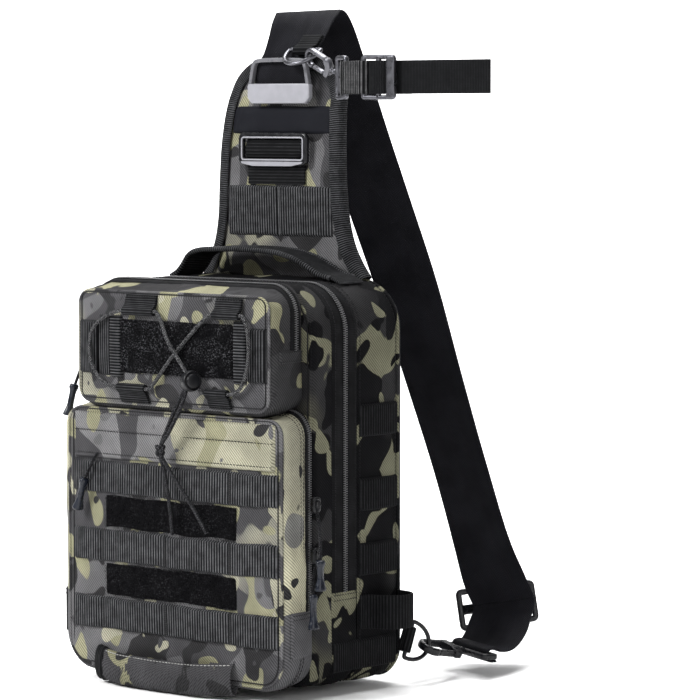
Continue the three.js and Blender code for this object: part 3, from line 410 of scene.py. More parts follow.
def lengths(points, axis):
    """Running length along one direction of a grid of points."""
    steps = np.linalg.norm(np.diff(points, axis=axis), axis=-1)
    return np.concatenate([np.zeros_like(np.take(steps, [0], axis)), np.cumsum(steps, axis)], axis)


def closed_up(rings):
    """Rings of points with their first point again at the end."""
    return np.concatenate([rings, rings[:, :1]], 1)


def flat_uv(rings):
    """Cloth coordinates of rings as they are seen from the front."""
    return closed_up(rings)[..., [0, 2]]


def wall_uv(rings, row, way=1):
    """Cloth coordinates of rings: how far round one of them, and how far from the first."""
    around = closed_up(rings)
    run = lengths(around, 1)[row][None].repeat(len(rings), 0)
    return np.stack([run, way * lengths(around, 0)], -1)


def grid(name, points, material, around=False, along=False, uv=None, ends=False, out=None, **tags):
    """Quads over a grid of points; around and along close it, ends cap an open tube.

    Its faces look away from its middle, or the way of out.
    """
    points = np.asarray(points, float)
    rows, columns = points.shape[:2]
    flat = points.reshape(-1, 3)
    if uv is None:
        opened = np.concatenate([points, points[:1]]) if along else points
        opened = closed_up(opened) if around else opened
        run = lengths(opened, 0).mean(1, keepdims=True).repeat(opened.shape[1], 1)
        uv = np.stack([run, lengths(opened, 1)], -1)
    i, j = np.meshgrid(np.arange(rows - (not along)), np.arange(columns - (not around)), indexing="ij")
    corners = [(i, j), (i, j + 1), (i + 1, j + 1), (i + 1, j)]
    index = np.stack([(a % rows) * columns + b % columns for a, b in corners], -1).reshape(-1, 4)
    loops = np.stack([uv[a, b] for a, b in corners], 2).reshape(-1, 4, 2)
    corner = flat[index]
    cross = np.cross(corner[:, 2] - corner[:, 0], corner[:, 3] - corner[:, 1])
    if out is not None:
        facing = (cross * out).sum()
    elif around:
        facing = (cross * (corner.mean(1) - points.mean(1)[i.ravel()])).sum()
    else:
        facing = (cross * (corner.mean(1) - flat.mean(0))).sum()
    if facing < 0:
        index = index[:, ::-1]
        loops = loops[:, ::-1]
    faces = index.tolist()
    loops = loops.reshape(-1, 2)
    if ends:
        for row in (0, rows - 1):
            cap = list(range(row * columns, (row + 1) * columns))
            faces.append(cap if (row == 0) == (facing < 0) else cap[::-1])
            loops = np.concatenate([loops, np.zeros((columns, 2))])
    return add_mesh(name, flat, faces, loops, material, **tags)


def curve(points, step, closed=False):
    """A smooth line through rows of numbers whose first three columns are a point, at about that step."""
    points = np.asarray(points, float)
    if closed:
        points = np.concatenate([points[-2:], points, points[:3]])
    at = np.concatenate([[0], np.cumsum(np.sqrt(np.linalg.norm(np.diff(points[:, :3], axis=0), axis=1)))])
    slope = np.gradient(points, at, axis=0)
    first, last = (2, len(points) - 3) if closed else (0, len(points) - 1)
    length = np.linalg.norm(np.diff(points[first:last + 1, :3], axis=0), axis=1).sum()
    fine = np.linspace(at[first], at[last], int(length / step * 3) + 8)
    k = np.clip(np.searchsorted(at, fine, "right") - 1, 0, len(points) - 2)
    width = (at[k + 1] - at[k])[:, None]
    t = ((fine - at[k]) / width[:, 0])[:, None]
    line = ((2 * t ** 3 - 3 * t ** 2 + 1) * points[k] + (t ** 3 - 2 * t ** 2 + t) * width * slope[k]
            + (3 * t ** 2 - 2 * t ** 3) * points[k + 1] + (t ** 3 - t ** 2) * width * slope[k + 1])
    run = np.concatenate([[0], np.cumsum(np.linalg.norm(np.diff(line[:, :3], axis=0), axis=1))])
    count = max(2, int(round(run[-1] / step)) + 1)
    even = np.linspace(0, run[-1], count)
    if closed:
        even = even[:-1]
    return np.stack([np.interp(even, run, column) for column in line.T], 1)


def directions(line, closed=False):
    if closed:
        return unit(np.roll(line, -1, 0) - np.roll(line, 1, 0))
    return unit(np.gradient(line, axis=0))


# A direction counts as upright from here on, and is then crossed with another one
UPRIGHT = 0.9


def circle(u, v, sides, squash=1.0):
    """Unit circles in the planes of u and v, flattened along u."""
    angle = (np.arange(sides) * TURN / sides)[:, None]
    return u[..., None, :] * np.cos(angle) * squash + v[..., None, :] * np.sin(angle)


def tube(name, route, radius, material, step, sides=10, closed=False, ribs=None, **tags):
    """A round cord; ribs = (pitch, height) gives it rings."""
    line = curve(route, step, closed)
    ahead = directions(line, closed)
    side = np.zeros_like(ahead)
    side[0] = unit(np.cross(ahead[0], UP if abs(ahead[0][2]) < UPRIGHT else BEHIND))
    for n in range(1, len(line)):
        side[n] = unit(side[n - 1] - ahead[n] * side[n - 1].dot(ahead[n]))
    run = np.arange(len(line)) * step
    thick = radius + (ribs[1] * np.cos(TURN * run / ribs[0]) if ribs else 0 * run)
    points = line[:, None] + circle(side, np.cross(ahead, side), sides) * thick[:, None, None]
    return grid(name, points, material, around=True, along=closed, ends=not closed, **tags)


def sweep(name, line, section, normal, material, closed=True, **tags):
    """A flat path with a section of (sideways, along the normal) points."""
    line, section = np.asarray(line, float), np.asarray(section, float)
    normal = unit(normal)
    side = unit(np.cross(directions(line, closed), normal))
    points = line[:, None] + side[:, None] * section[None, :, :1] + normal * section[None, :, 1:]
    return grid(name, points, material, around=True, along=closed, ends=not closed, **tags)


def rounded(half_a, half_b, radius, steps=4):
    """A rounded rectangle as (a, b) points."""
    turns = np.linspace(0, math.pi / 2, steps + 1)
    points = []
    for quarter, (sign_a, sign_b) in enumerate(((1, 1), (-1, 1), (-1, -1), (1, -1))):
        angle = turns + quarter * math.pi / 2
        middle = np.array((sign_a * (half_a - radius), sign_b * (half_b - radius)))
        points.append(middle + radius * np.stack([np.cos(angle), np.sin(angle)], 1))
    return np.concatenate(points)


# How much cloth a strap's section takes up where it closes
SECTION_CLOSE = 0.02


def ribbon(name, stations, thickness, material, pitch=RIB, rib=0.12, step=0.5, closed=False, node=None):
    """A strap through stations of x, y, z, its across direction and its half width."""
    line = curve(stations, step, closed)
    centre, across = line[:, :3], unit(line[:, 3:6])
    flat = unit(np.cross(directions(centre, closed), across))
    wave = rib * np.cos(TURN * (np.arange(len(line)) * step) / pitch)
    face = np.linspace(-0.94, 0.94, 12)
    section = [(a, 1) for a in face] + [(0.985, 0.7), (1, 0), (0.985, -0.7)]
    section += [(a, -1) for a in face[::-1]] + [(-0.985, -0.7), (-1, 0), (-0.985, 0.7)]
    points = []
    for a, b in section:
        height = b * (thickness / 2 + wave * (abs(b) == 1))
        points.append(centre + across * line[:, 6:7] * a + flat * height[:, None])
    steps = [abs(end[0] - start[0]) for start, end in zip(section, section[1:])] + [SECTION_CLOSE]
    wide = np.concatenate([[0], np.cumsum(steps)])
    run = np.arange(len(line) + closed)[:, None] * step
    uv = np.stack(np.broadcast_arrays(run, wide[None] * line[0, 6]), -1)
    points = np.stack(points, 1)
    return grid(name, points, material, around=True, along=closed, uv=uv, ends=not closed, node=node)


# Shares of its start and its end at the two rings of a spindle
SPINDLE_RINGS = ((0.82, 0.18), (0.18, 0.82))


def spindles(name, starts, ends, radius, material, sides=4):
    """Many small slim bodies, such as stitches, zipper teeth or fibres."""
    starts, ends = np.asarray(starts, float), np.asarray(ends, float)
    axis = unit(ends - starts)
    u = unit(np.cross(axis, np.where(np.abs(axis[:, 2:]) < UPRIGHT, UP, BEHIND)))
    ring = circle(u, np.cross(axis, u), sides) * radius
    low, high = ((starts * first + ends * second)[:, None] + ring for first, second in SPINDLE_RINGS)
    points = np.concatenate([starts[:, None], low, high, ends[:, None]], 1)
    size = 2 + 2 * sides
    faces = []
    for k in range(sides):
        n = (k + 1) % sides
        faces += [
            [0, 1 + n, 1 + k],
            [1 + k, 1 + n, 1 + sides + n, 1 + sides + k],
            [1 + sides + k, 1 + sides + n, size - 1],
        ]
    offsets = np.arange(len(starts)) * size
    all_faces = [[corner + o for corner in face] for o in offsets.tolist() for face in faces]
    loops = np.zeros((sum(len(f) for f in faces) * len(starts), 2))
    add_mesh(name, points.reshape(-1, 3), all_faces, loops, material)


def lathe(name, profile, origin, axis, material, sides=20, squash=1.0, flat_way=UP, **tags):
    """A turned piece from (radius, height) points along an axis, flattened by squash."""
    axis = unit(axis)
    u = unit(np.cross(axis, flat_way))
    ring = circle(u, np.cross(axis, u), sides, squash)
    points = [np.asarray(origin, float) + axis * h + ring * r for r, h in profile]
    return grid(name, points, material, around=True, ends=True, **tags)


# Starts and ends of the stitches in dark and in pale thread
dark_thread = ([], [])
pale_thread = ([], [])


def stitch(route, closed=False, long=2.7, gap=0.5, thread=dark_thread):
    """A line of stitches along a route."""
    line = curve(route, long + gap, closed)
    reach = directions(line, closed) * long / 2
    thread[0].extend(line - reach)
    thread[1].extend(line + reach)


# Pocket and body forms

EDGE_DROP = 3.6
WALL_SHARE = 0.86
# half, low and high are a pocket's outline, top and bottom the radii of its corners, rim and face the depths
# of its wall's foot and of its front, and crown how far the front bulges. inset is how far the front lies
# inside the rim at the side, top and foot, and swell how far the walls stand outside it there. left and lean
# are how much further front and wall reach to the left, and sharp is how fast the corners tighten.
UPPER = {
    "half": 96.5, "low": 210.5, "high": 305.5, "top": 20, "bottom": 13, "rim": -102.3, "face": -138.5,
    "crown": 4, "inset": (6, 10.5, 6), "swell": (3, -7, 4), "left": 1.04, "lean": 0.001, "sharp": 2.0,
}
LOWER = {
    "half": 106, "low": 4, "high": 210.5, "top": 16, "bottom": 22, "rim": -102.3, "face": -136, "crown": 3,
    "inset": (6, 6, 6), "swell": (5, -4.5, 3.4), "left": 1.045, "lean": 0.0052, "sharp": 1.7,
}
SHELL = {
    "half": 107, "low": 0, "high": 304, "top": 36, "bottom": 22, "rim": -79.8, "face": -102, "crown": 0,
    "inset": (6, 6, 6), "swell": (0, 0, 0), "left": 1, "lean": 0, "sharp": 1,
}


def half_at(box, x):
    return box["half"] * np.where(np.asarray(x) < 0, box["left"], 1)


def reach_left(box, out_x):
    """How much further the left of an outline lies from the middle than its right."""
    return box["left"] + box["lean"] * (out_x + box["inset"][0])


def crown_y(box, x, z):
    u = x / half_at(box, x)
    v = (2 * z - box["low"] - box["high"]) / (box["high"] - box["low"])
    return box["face"] - box["crown"] * (1 - u * u) * (1 - v * v)


def edge_y(box):
    """Where the side wall of a pocket starts to round off towards its front."""
    return box["rim"] + WALL_SHARE * (box["face"] + EDGE_DROP - box["rim"])


def on_front(box):
    """The front of a pocket as a surface of x and z."""
    def surface(x, z):
        gaps = (half_at(box, x) - np.abs(x), box["high"] - z, z - box["low"])
        reaches = zip(gaps, box["inset"], box["swell"])
        turns = [(inset - gap) / (inset + swell) for gap, inset, swell in reaches]
        turn = np.clip(np.maximum(np.maximum(turns[0], turns[1]), turns[2]), 0, 1)
        rounded_off = (box["face"] - edge_y(box)) * (1 - np.sqrt(1 - turn ** 2))
        return np.stack([x, crown_y(box, x, z) - rounded_off, z], -1)
    return surface


def wall_out(box, y, rise=0.0):
    """How far a pocket's wall stands outside its rim at a depth: at the side, and at the top and foot."""
    share = np.clip((y - box["rim"]) / (edge_y(box) - box["rim"]), 0, 1)
    shares = [1 - (1 - share) ** 2 if swell > 0 else share ** 1.5 for swell in box["swell"]]
    side, top, foot = (swell * share + rise for swell, share in zip(box["swell"], shares))
    return side, (top, foot)


def on_wall(box, sign):
    """A side wall of a pocket as a surface of y and z."""
    def surface(y, z):
        out = wall_out(box, y)[0]
        x = (box["half"] + out) * (1 if sign > 0 else reach_left(box, out))
        return np.stack([sign * x, y, z], -1)
    return surface


# Points of an outline: in a corner, across it and up its sides
CORNER_STEPS, ACROSS_STEPS, SIDE_STEPS = 10, 60, 44


def outline(box, out_x=0.0, out_z=None):
    """Rounded outline in X and Z, anticlockwise from the lower right corner, that far outside a box.

    out_z is how far at the top and at the foot, where that isn't the same.
    """
    out_top, out_foot = out_z or (out_x, out_x)
    half, low, high = box["half"] + out_x, box["low"] - out_foot, box["high"] + out_top
    top = max(box["top"] + box["sharp"] * (out_x + out_top) / 2, 1)
    foot = max(box["bottom"] + box["sharp"] * (out_x + out_foot) / 2, 1)
    corners = [
        (half - foot, low + foot, foot), (half - top, high - top, top),
        (top - half, high - top, top), (foot - half, low + foot, foot),
    ]
    arcs = []
    for quarter, (x, z, radius) in enumerate(corners):
        angle = np.radians(np.linspace(quarter * 90 - 90, quarter * 90, CORNER_STEPS + 1))
        arcs.append(np.stack([x + radius * np.cos(angle), z + radius * np.sin(angle)], 1))
    points = []
    for quarter, line in enumerate(arcs):
        count = ACROSS_STEPS if quarter % 2 else SIDE_STEPS
        share = np.linspace(0, 1, count + 1)[1:-1, None]
        points += [line, line[-1] * (1 - share) + arcs[(quarter + 1) % 4][0] * share]
    flat = np.concatenate(points)
    flat[:, 0] *= np.where(flat[:, 0] < 0, reach_left(box, out_x), 1)
    return flat


def at_y(flat, y):
    """Points of an outline set at a depth."""
    return np.stack([flat[:, 0], np.broadcast_to(y, len(flat)), flat[:, 1]], 1)


def outward(flat):
    ahead = unit(np.roll(flat, -1, 0) - np.roll(flat, 1, 0))
    return np.stack([ahead[:, 1], 0 * ahead[:, 0], -ahead[:, 0]], 1)


def drawn_in(ring, box, count):
    """x and z of rings that shrink from a first one towards the middle of a box."""
    middle = (box["low"] + box["high"]) / 2
    for share in np.linspace(1, 0.01, count)[1:]:
        yield ring[:, 0] * share, middle + (ring[:, 2] - middle) * share


# Degrees round a pocket's front edge of its seam, and from there to its dark line, which is stitching and
# painted shade in the seam's groove
SEAM_TURN = 58
SEAM_SEWN = 18


def edge_ring(box, degrees):
    """A ring on the rounded front edge of a pocket, from its wall at 0 to its front at 90 degrees."""
    turn = math.radians(degrees)
    reaches = zip(box["inset"], box["swell"])
    side, top, foot = ((inset + swell) * math.cos(turn) - inset for inset, swell in reaches)
    depth = edge_y(box) + (box["face"] - edge_y(box)) * math.sin(turn)
    return at_y(outline(box, side, (top, foot)), depth)


def pocket(name, node, box, front_cloth, side_cloth, front_relief, side_relief):
    """The front and the side walls of a pocket, with a rolled seam where they meet; gives the walls back."""
    depths = np.linspace(box["rim"], edge_y(box), 14)
    walls = [at_y(outline(box, *wall_out(box, y)), y) for y in depths]
    walls += [edge_ring(box, d) for d in np.linspace(0, SEAM_TURN, 7)[1:]]
    walls = np.stack(walls)
    side = walls + outward(outline(box)) * side_relief(walls)[..., None]
    side_uv = wall_uv(walls, len(depths) - 1, -1)
    side_piece = grid(name + "_side", side, side_cloth, around=True, uv=side_uv)
    rings = [edge_ring(box, d) for d in np.linspace(SEAM_TURN, 90, 5)]
    for x, z in drawn_in(rings[-1], box, 34):
        rings.append(np.stack([x, crown_y(box, x, z), z], 1))
    rings = np.stack(rings)
    ease = smooth(np.arange(len(rings)) / 6)[:, None]
    front = rings + FRONT * (front_relief(rings) * ease)[..., None]
    grid(name + "_front", front, front_cloth, around=True, uv=flat_uv(front), out=FRONT, node=node)
    seam = edge_ring(box, SEAM_TURN) + FRONT * 0.1
    tube(name + "_seam", seam, 1.15, front_cloth, 2.0, sides=8, closed=True)
    # A continuous dark line inside the seam: its stitching, with painted shade in the seam's groove
    sewn = edge_ring(box, SEAM_TURN + SEAM_SEWN) + FRONT * 0.2
    tube(name + "_seam_thread_and_shade", sewn, 0.5, THREAD, 2.5, sides=6, closed=True)
    return side_piece


# Cords: elastic lacing over the upper pocket and its two knotted tails

CORD = 1.5
CORD_STEP = 1.2
TAB_SEAT = 3.8
# Tabs that hold the cord: from x, to x, z, the way its neck points
CORD_TABS = {
    "cord_tab_top_left": (-46, -14, 282.6, 1), "cord_tab_top_right": (46, 72, 282.6, 1),
    "cord_tab_bottom_left": (-53, -24, 224, -1), "cord_tab_bottom_right": (38, 60, 224, -1),
}


def in_tab(tab, *places):
    """Points of the cord where it runs through a tab."""
    start, end, z, _ = CORD_TABS[tab]
    y = min(crown_y(UPPER, start, z), crown_y(UPPER, end, z)) - TAB_SEAT
    return [(x, y, z) for x in places]


def over_front(x, z, lift):
    return (x, crown_y(UPPER, x, z) - lift, z)


LACING = [
    (26.4, -151, 237.1), (17, -151.4, 248.5), (7, -151.4, 260.5),
    *in_tab("cord_tab_top_left", -11.5, -17, -30, -43, -49),
    over_front(-64, 278, 5), over_front(-77, 268, 6.4), over_front(-81, 253, 6.4), over_front(-77, 238, 6.4),
    over_front(-68, 227.5, 5),
    *in_tab("cord_tab_bottom_left", -56, -50, -27, -21),
    over_front(8, 251, 4.6),
    *in_tab("cord_tab_top_right", 43, 49, 69, 75),
    over_front(81, 274, 6.6), over_front(83, 258, 6.6), over_front(80, 240, 6.6), over_front(72, 228, 5),
    *in_tab("cord_tab_bottom_right", 63, 57, 41, 35.2),
    (31, -148.6, 231),
]
KNOT = (-2, -151.5, 179)
KNOT_SIZE = 1.35
TAILS = {
    "bungee_tail_left": [
        (26.4, -151, 230.6), (17.6, -152.4, 216), (6, -152, 196), KNOT, (2, -150.5, 160), (5, -149, 138),
        (7, -148, 115),
    ],
    "bungee_tail_right": [
        (28.6, -153.4, 230.2), (22, -154.4, 213), (9, -153, 194), KNOT, (9, -151, 162), (26, -149, 141),
        (42, -148, 119),
    ],
}
LOCK = (29.8, -151.6, 232.8)
LOCK_WAY = (0.94, -0.33, 0.08)
# The lock's rim, the groove in it and its button
LOCK_PROFILE = [
    (1.8, -7.8), (5.4, -6.4), (7.4, -3.4), (8.1, 0), (7.8, 2.2), (7.5, 3.4), (7.2, 3.7),
    (6.8, 3.7), (6.5, 3.4), (6.3, 2.4), (5.6, 2.3), (5.5, 4.6), (5.2, 5.2), (4.7, 5.4), (1.2, 5.5),
]

tube("bungee_lacing_cord", LACING, CORD, CORD_BRAID, CORD_STEP, sides=12, node="bungee_lacing")
turns = np.linspace(0, TURN, 40, endpoint=False)
across = np.sin(turns) + 2 * np.sin(2 * turns)
height = np.cos(turns) - 2 * np.cos(2 * turns)
trefoil = np.array(KNOT) + np.stack([across, -1.1 * np.sin(3 * turns), height], 1) * KNOT_SIZE
knot = tube("bungee_knot", trefoil, CORD, TAIL_BRAID, CORD_STEP, closed=True)
for name, route in TAILS.items():
    first = "left" in name
    tail = tube(name, route, CORD, TAIL_BRAID, CORD_STEP)
    path = to_part(curve(route, CORD_STEP))
    length = float(np.linalg.norm(np.diff(path, axis=0), axis=1).sum())
    if first:
        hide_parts("bungee_tails")
lathe("cord_lock_ball", LOCK_PROFILE, LOCK, LOCK_WAY, GLOSS, sides=24, node="cord_lock")


# Body: shell, gussets, back panel and main zipper

HALF_WIDTH = SHELL["half"]
ZIP_FRONT, ZIP_REAR, REAR, BACK = -79.5, -50.5, -2, 6
ZIP_MIDDLE = (ZIP_FRONT + ZIP_REAR) / 2
ZIP_END = 72


def creased(size, height, seed):
    """Soft unevenness with a few sharper folds."""
    def relief(points):
        broad = ripple(points, size, seed)
        sharp = 1 - np.abs(ripple(points, size * 0.6, seed + 50))
        return height * (0.7 * broad + 0.5 * np.clip(sharp, -0.6, 1) ** 3)
    return relief


pocket("shell", "front_shell", SHELL, CAMO_SHELL, CAMO_SHELL, creased(60, 0.5, 3), creased(45, 0.55, 4))

REAR_BULGE = 2.0
depths = np.linspace(ZIP_REAR + 0.3, REAR, 18)
rings = []
for y in depths:
    share = (y - depths[0]) / (depths[-1] - depths[0])
    rings.append(at_y(outline(SHELL, REAR_BULGE * math.sin(math.pi * share)), y))
rings = np.stack(rings)
ease = np.sin(np.linspace(0, math.pi, len(depths)))[:, None]
rear = rings + outward(outline(SHELL)) * (creased(38, 0.9, 8)(rings) * ease)[..., None]
rear_uv = wall_uv(rings, len(depths) // 2)
grid("rear_gusset_cloth", rear, CAMO_BODY, around=True, uv=rear_uv, node="rear_gusset")
for y in (ZIP_REAR + 3.2, REAR - 3):
    stitch(at_y(outline(SHELL, 0.7), y), closed=True)
tube("rear_seam", at_y(outline(SHELL, 0.2), REAR), 1.6, CAMO_BODY, 2.2, sides=8, closed=True)

# Padded back, flat where it lies against the wearer and rounded towards its seam, with a sewn groove.
# Its edge: how far inside the outline, depth
BACK_EDGE = [
    (0.4, REAR + 0.5), (0, 0.6), (0.5, 2.6), (2, 4.4), (4.5, 5.6), (7, BACK), (9, BACK),
    (12, 5.1), (15, BACK),
]
back_rings = [at_y(outline(SHELL, -inset), y) for inset, y in BACK_EDGE]
for x, z in drawn_in(back_rings[-1], SHELL, 26):
    back_rings.append(np.stack([x, np.full_like(x, BACK), z], 1))
back_rings = np.stack(back_rings)
inner = back_rings[len(BACK_EDGE):]
inner[..., 1] -= 0.35 * (1 + ripple(inner, 70, 21)) * smooth(np.arange(len(inner)) / 5)[:, None]
back = grid("back_padding", back_rings, CLOTH_BACK, around=True, uv=flat_uv(back_rings), out=BEHIND,
            node="back_panel")
stitch(at_y(outline(SHELL, -12), 5.25), closed=True)


def rim_line(box, end_z, out_x=0.0, out_z=None, upper=True):
    """Part of an outline between two points on its sides, anticlockwise."""
    flat = outline(box, out_x, out_z)
    half = box["half"] + out_x
    kept = (outline(box)[:, 1] > end_z) == upper
    ends = [(half, end_z), (-half * reach_left(box, out_x), end_z)]
    ends = ends if upper else ends[::-1]
    first = np.flatnonzero(kept & ~np.roll(kept, 1))[0]
    order = (np.arange(len(kept)) + first) % len(kept)
    return np.concatenate([[ends[0]], flat[order[kept[order]]], [ends[1]]])


def band(name, box, end_z, section, material, node, upper=True):
    """A strip around part of an outline.

    Rows of its section are how far outside, y, and how far outside at the top and foot, where that differs.
    """
    lines = [at_y(rim_line(box, end_z, out_x, *ends, upper=upper), y) for out_x, y, *ends in section]
    grid(name, np.stack(lines, 1), material, node=node)


TOOTH_PITCH = 1.75
TOOTH_OVERLAP = 0.5
# Starts and ends of the zippers' teeth
zip_teeth = ([], [])


def teeth(line, reach=2.7):
    """Two interlocked rows of zipper teeth along a line."""
    line = curve(line, TOOTH_PITCH / 2)
    for first, way in enumerate((FRONT, BEHIND)):
        row = line[first::2]
        zip_teeth[0].extend(row - way * TOOTH_OVERLAP)
        zip_teeth[1].extend(row + way * reach)


# Sections across the body's edge: how far outside, y
MAIN_ZIP = [
    (-0.6, ZIP_FRONT), (0.9, ZIP_FRONT + 1.2), (1.2, ZIP_FRONT + 4), (1.1, ZIP_MIDDLE - 5),
    (0.5, ZIP_MIDDLE - 3.6), (0.3, ZIP_MIDDLE), (0.5, ZIP_MIDDLE + 3.6),
    (1.1, ZIP_MIDDLE + 5), (1.2, ZIP_REAR - 4), (0.9, ZIP_REAR - 1.2), (-0.6, ZIP_REAR),
]
BASE_GUSSET = [
    (-0.4, ZIP_FRONT), (0.4, ZIP_FRONT + 2), (1.2, ZIP_MIDDLE - 6), (1.5, ZIP_MIDDLE),
    (1.2, ZIP_MIDDLE + 6), (0.4, ZIP_REAR - 2), (-0.4, ZIP_REAR),
]
band("main_zipper_tape", SHELL, ZIP_END, MAIN_ZIP, ZIP_TAPE, "main_zipper")
zip_line = rim_line(SHELL, ZIP_END, 1.3)
teeth(at_y(zip_line, ZIP_MIDDLE))
for y in (ZIP_FRONT + 3, ZIP_REAR - 3):
    stitch(at_y(zip_line, y))
band("base_gusset_cloth", SHELL, ZIP_END, BASE_GUSSET, CAMO_BODY, "base_gusset", upper=False)
# Stitches across the gusset, below the zipper's ends
for drop in (2.0, 6.0):
    for x in (HALF_WIDTH + 1.4, -HALF_WIDTH - 1.4):
        stitch([(x, y, ZIP_END - drop) for y in (ZIP_FRONT + 2, ZIP_MIDDLE, ZIP_REAR - 2)])


# Front pockets

UPPER_ZIP_END, LOWER_ZIP_END = 257, 62


def lower_relief(points):
    """The lower pocket's front is creased, and puckers at its foot."""
    foot = smooth((46 - points[..., 2]) / 40)
    return creased(46, 0.6, 11)(points) + foot * (2.0 * ripple(points, 26, 12))


pocket("upper_pocket", "upper_pocket", UPPER, CAMO_UPPER, CAMO_UPPER_WALL_SHADED,
       creased(42, 0.5, 5), creased(30, 0.7, 6))
lower_walls = pocket("lower_pocket", "lower_pocket", LOWER, CAMO_LOWER, CAMO_WALL,
                     lower_relief, creased(40, 0.7, 7))
# Plain cloth on the foot of the lower pocket's walls, below the zipper's ends
lower_walls.data.materials.append(CLOTH_DARK)
FOOT_Z = (LOWER_ZIP_END - HANG[2]) * MM
for face in lower_walls.data.polygons:
    face.material_index = int(face.center.z < FOOT_Z)
WALL_SEAMS = (-119, -115.4)
for y in WALL_SEAMS:
    stitch(at_y(outline(LOWER, *wall_out(LOWER, y, 0.2)), y), closed=True)

# Rows of a pocket's zipper: distance from its middle, height over the wall
ZIP_ROWS = [
    (-5.2, 0.2), (-4.4, 1.3), (-2.6, 1.5), (-1.8, 0.9), (0, 0.8), (1.8, 0.9), (2.6, 1.5), (4.4, 1.3),
    (5.2, 0.2),
]


def pocket_zip(name, box, end_z, node, middle, spread=1.0):
    """Tape and teeth that lie on a pocket's wall next to the body."""
    section = []
    for shift, rise in ZIP_ROWS:
        y = middle + shift * spread
        side, ends = wall_out(box, y, rise)
        section.append((side, y, ends))
    band(name, box, end_z, section, ZIP_TAPE, node)
    teeth(at_y(rim_line(box, end_z, *wall_out(box, middle, 1.6)), middle), reach=2.3)


pocket_zip("upper_zipper_tape", UPPER, UPPER_ZIP_END, "upper_pocket_zipper", -111.4, 1.3)
pocket_zip("lower_zipper_tape", LOWER, LOWER_ZIP_END, "lower_pocket_zipper", -108)

# How far from its border a slab has its full height
SLAB_EDGE = 1.1
# Steps of slabs along their two lengths: plain cloth, and webbing with ribs across it or along it
CLOTH_STEP, WEB_STEP, BAND_STEP, LEVEL_STEP = (1.5, 1.5), (0.5, 1.4), (0.6, 1.5), (1.2, 0.5)


def slab(name, surface, out, span, rise, height, material, step, node=None, relief=None, bend=None,
         turned=False):
    """Cloth of that height laid on a surface of two lengths.

    span = (from, to, low, high), rise lifts it off the surface, relief is its unevenness, bend moves it
    along the second length, and turned makes its weave run along that one.
    """
    a = np.linspace(span[0], span[1], int((span[1] - span[0]) / step[0]) + 2)
    b = np.linspace(span[2], span[3], int((span[3] - span[2]) / step[1]) + 2)
    a, b = np.meshgrid(a, b, indexing="ij")
    border = np.minimum(np.minimum(a - span[0], span[1] - a), np.minimum(b - span[2], span[3] - b))
    body = np.sqrt(1 - (1 - np.clip(border / SLAB_EDGE, 0, 1)) ** 2)
    lift = rise(a, b) if callable(rise) else rise
    up = lift + height * body + (relief(a, b) if relief else 0) * smooth(border / (SLAB_EDGE * 2))
    up = np.where(border < 1e-6, np.minimum(lift, 0.05), up)
    points = surface(a, b + bend(a, b) if bend else b) + out * up[..., None]
    uv = np.stack([b, a] if turned else [a, b], -1)
    grid(name, points, material, uv=uv, out=out, node=node)


def uneven(size, height, seed, share=1):
    """Soft unevenness of a slab; a share below 1 draws it out along the second length."""
    def relief(a, b):
        return height * ripple(np.stack([a, 0 * a, share * b], -1), size, seed)
    return relief


def wavy(size, height, seed):
    """A strip's edges wander up and down along it."""
    return uneven(size, height, seed, 0.4)


def ribs(height, pitch, level=False):
    """Ribs across a slab's first length, or level ones across its second."""
    def relief(a, b):
        return height * np.cos(TURN * (b if level else a) / pitch)
    return relief


lower_face = on_front(LOWER)
upper_face = on_front(UPPER)
web_ribs = ribs(0.28, RIB)
band_ribs = ribs(0.2, BAND_RIB)
level_ribs = ribs(0.18, BAND_RIB, level=True)

# Cloth sewn across the walls where the pocket zippers end: pocket, cloth, low, high, heights of its stitches
ZIP_ENDS = {
    "upper": (UPPER, CAMO_UPPER_WALL_SHADED, UPPER_ZIP_END - 9.5, UPPER_ZIP_END + 0.6, (255.6, 249)),
    "lower": (LOWER, CLOTH_DARK, LOWER_ZIP_END - 34, LOWER_ZIP_END + 0.6, (60.6, 57.4)),
}
ZIP_END_FROM, ZIP_END_TO = -131, -103.2
for side, out in (("left", -RIGHT), ("right", RIGHT)):
    for name, (box, cloth, low, high, rungs) in ZIP_ENDS.items():
        face = on_wall(box, out[0])
        span = (ZIP_END_FROM, ZIP_END_TO, low, high)
        slab(f"{name}_zip_end_{side}", face, out, span, 1.0, 0.9, cloth, (1.5, 1.2))
        for z in rungs:
            stitch([face(y, z) + out * 2 for y in (-129.5, -122, -114, -104.5)])

# Flap over the slip pocket
FLAP = (-106, 100.4, 167.5, 202.6)
FLAP_SEAM = 188.6
# Stitches on the flap: height, height at which their depth is taken, distance from the pocket
FLAP_STITCHES = ((FLAP_SEAM, FLAP_SEAM, 2.2), (171.2, 170.6, 3.2))


def flap_relief(x, z):
    """Soft unevenness, a groove at the seam and a thicker hem."""
    groove = np.exp(-((z - FLAP_SEAM) / 0.8) ** 2)
    return uneven(48, 0.5, 31)(x, z) - 0.7 * groove + 0.9 * smooth((174 - z) / 5)


slab("flap_cloth", lower_face, FRONT, FLAP, 0.4, 2.0, CAMO_FLAP, (1.6, 0.8), "pocket_flap", flap_relief)
for z, seat, lift in FLAP_STITCHES:
    places = np.linspace(FLAP[0] + 2, FLAP[1] - 2, 12)
    stitch([(x, lower_face(x, seat)[1] - lift, z) for x in places])

# Webbing rows, sewn down at intervals so that they bow between
ROW_HEIGHT = 25.2
ROWS = {"molle_front_1": 153, "molle_front_2": 100, "molle_front_3": 47.5}
SEWN = (-107, -74, -8, 58, 103.4)


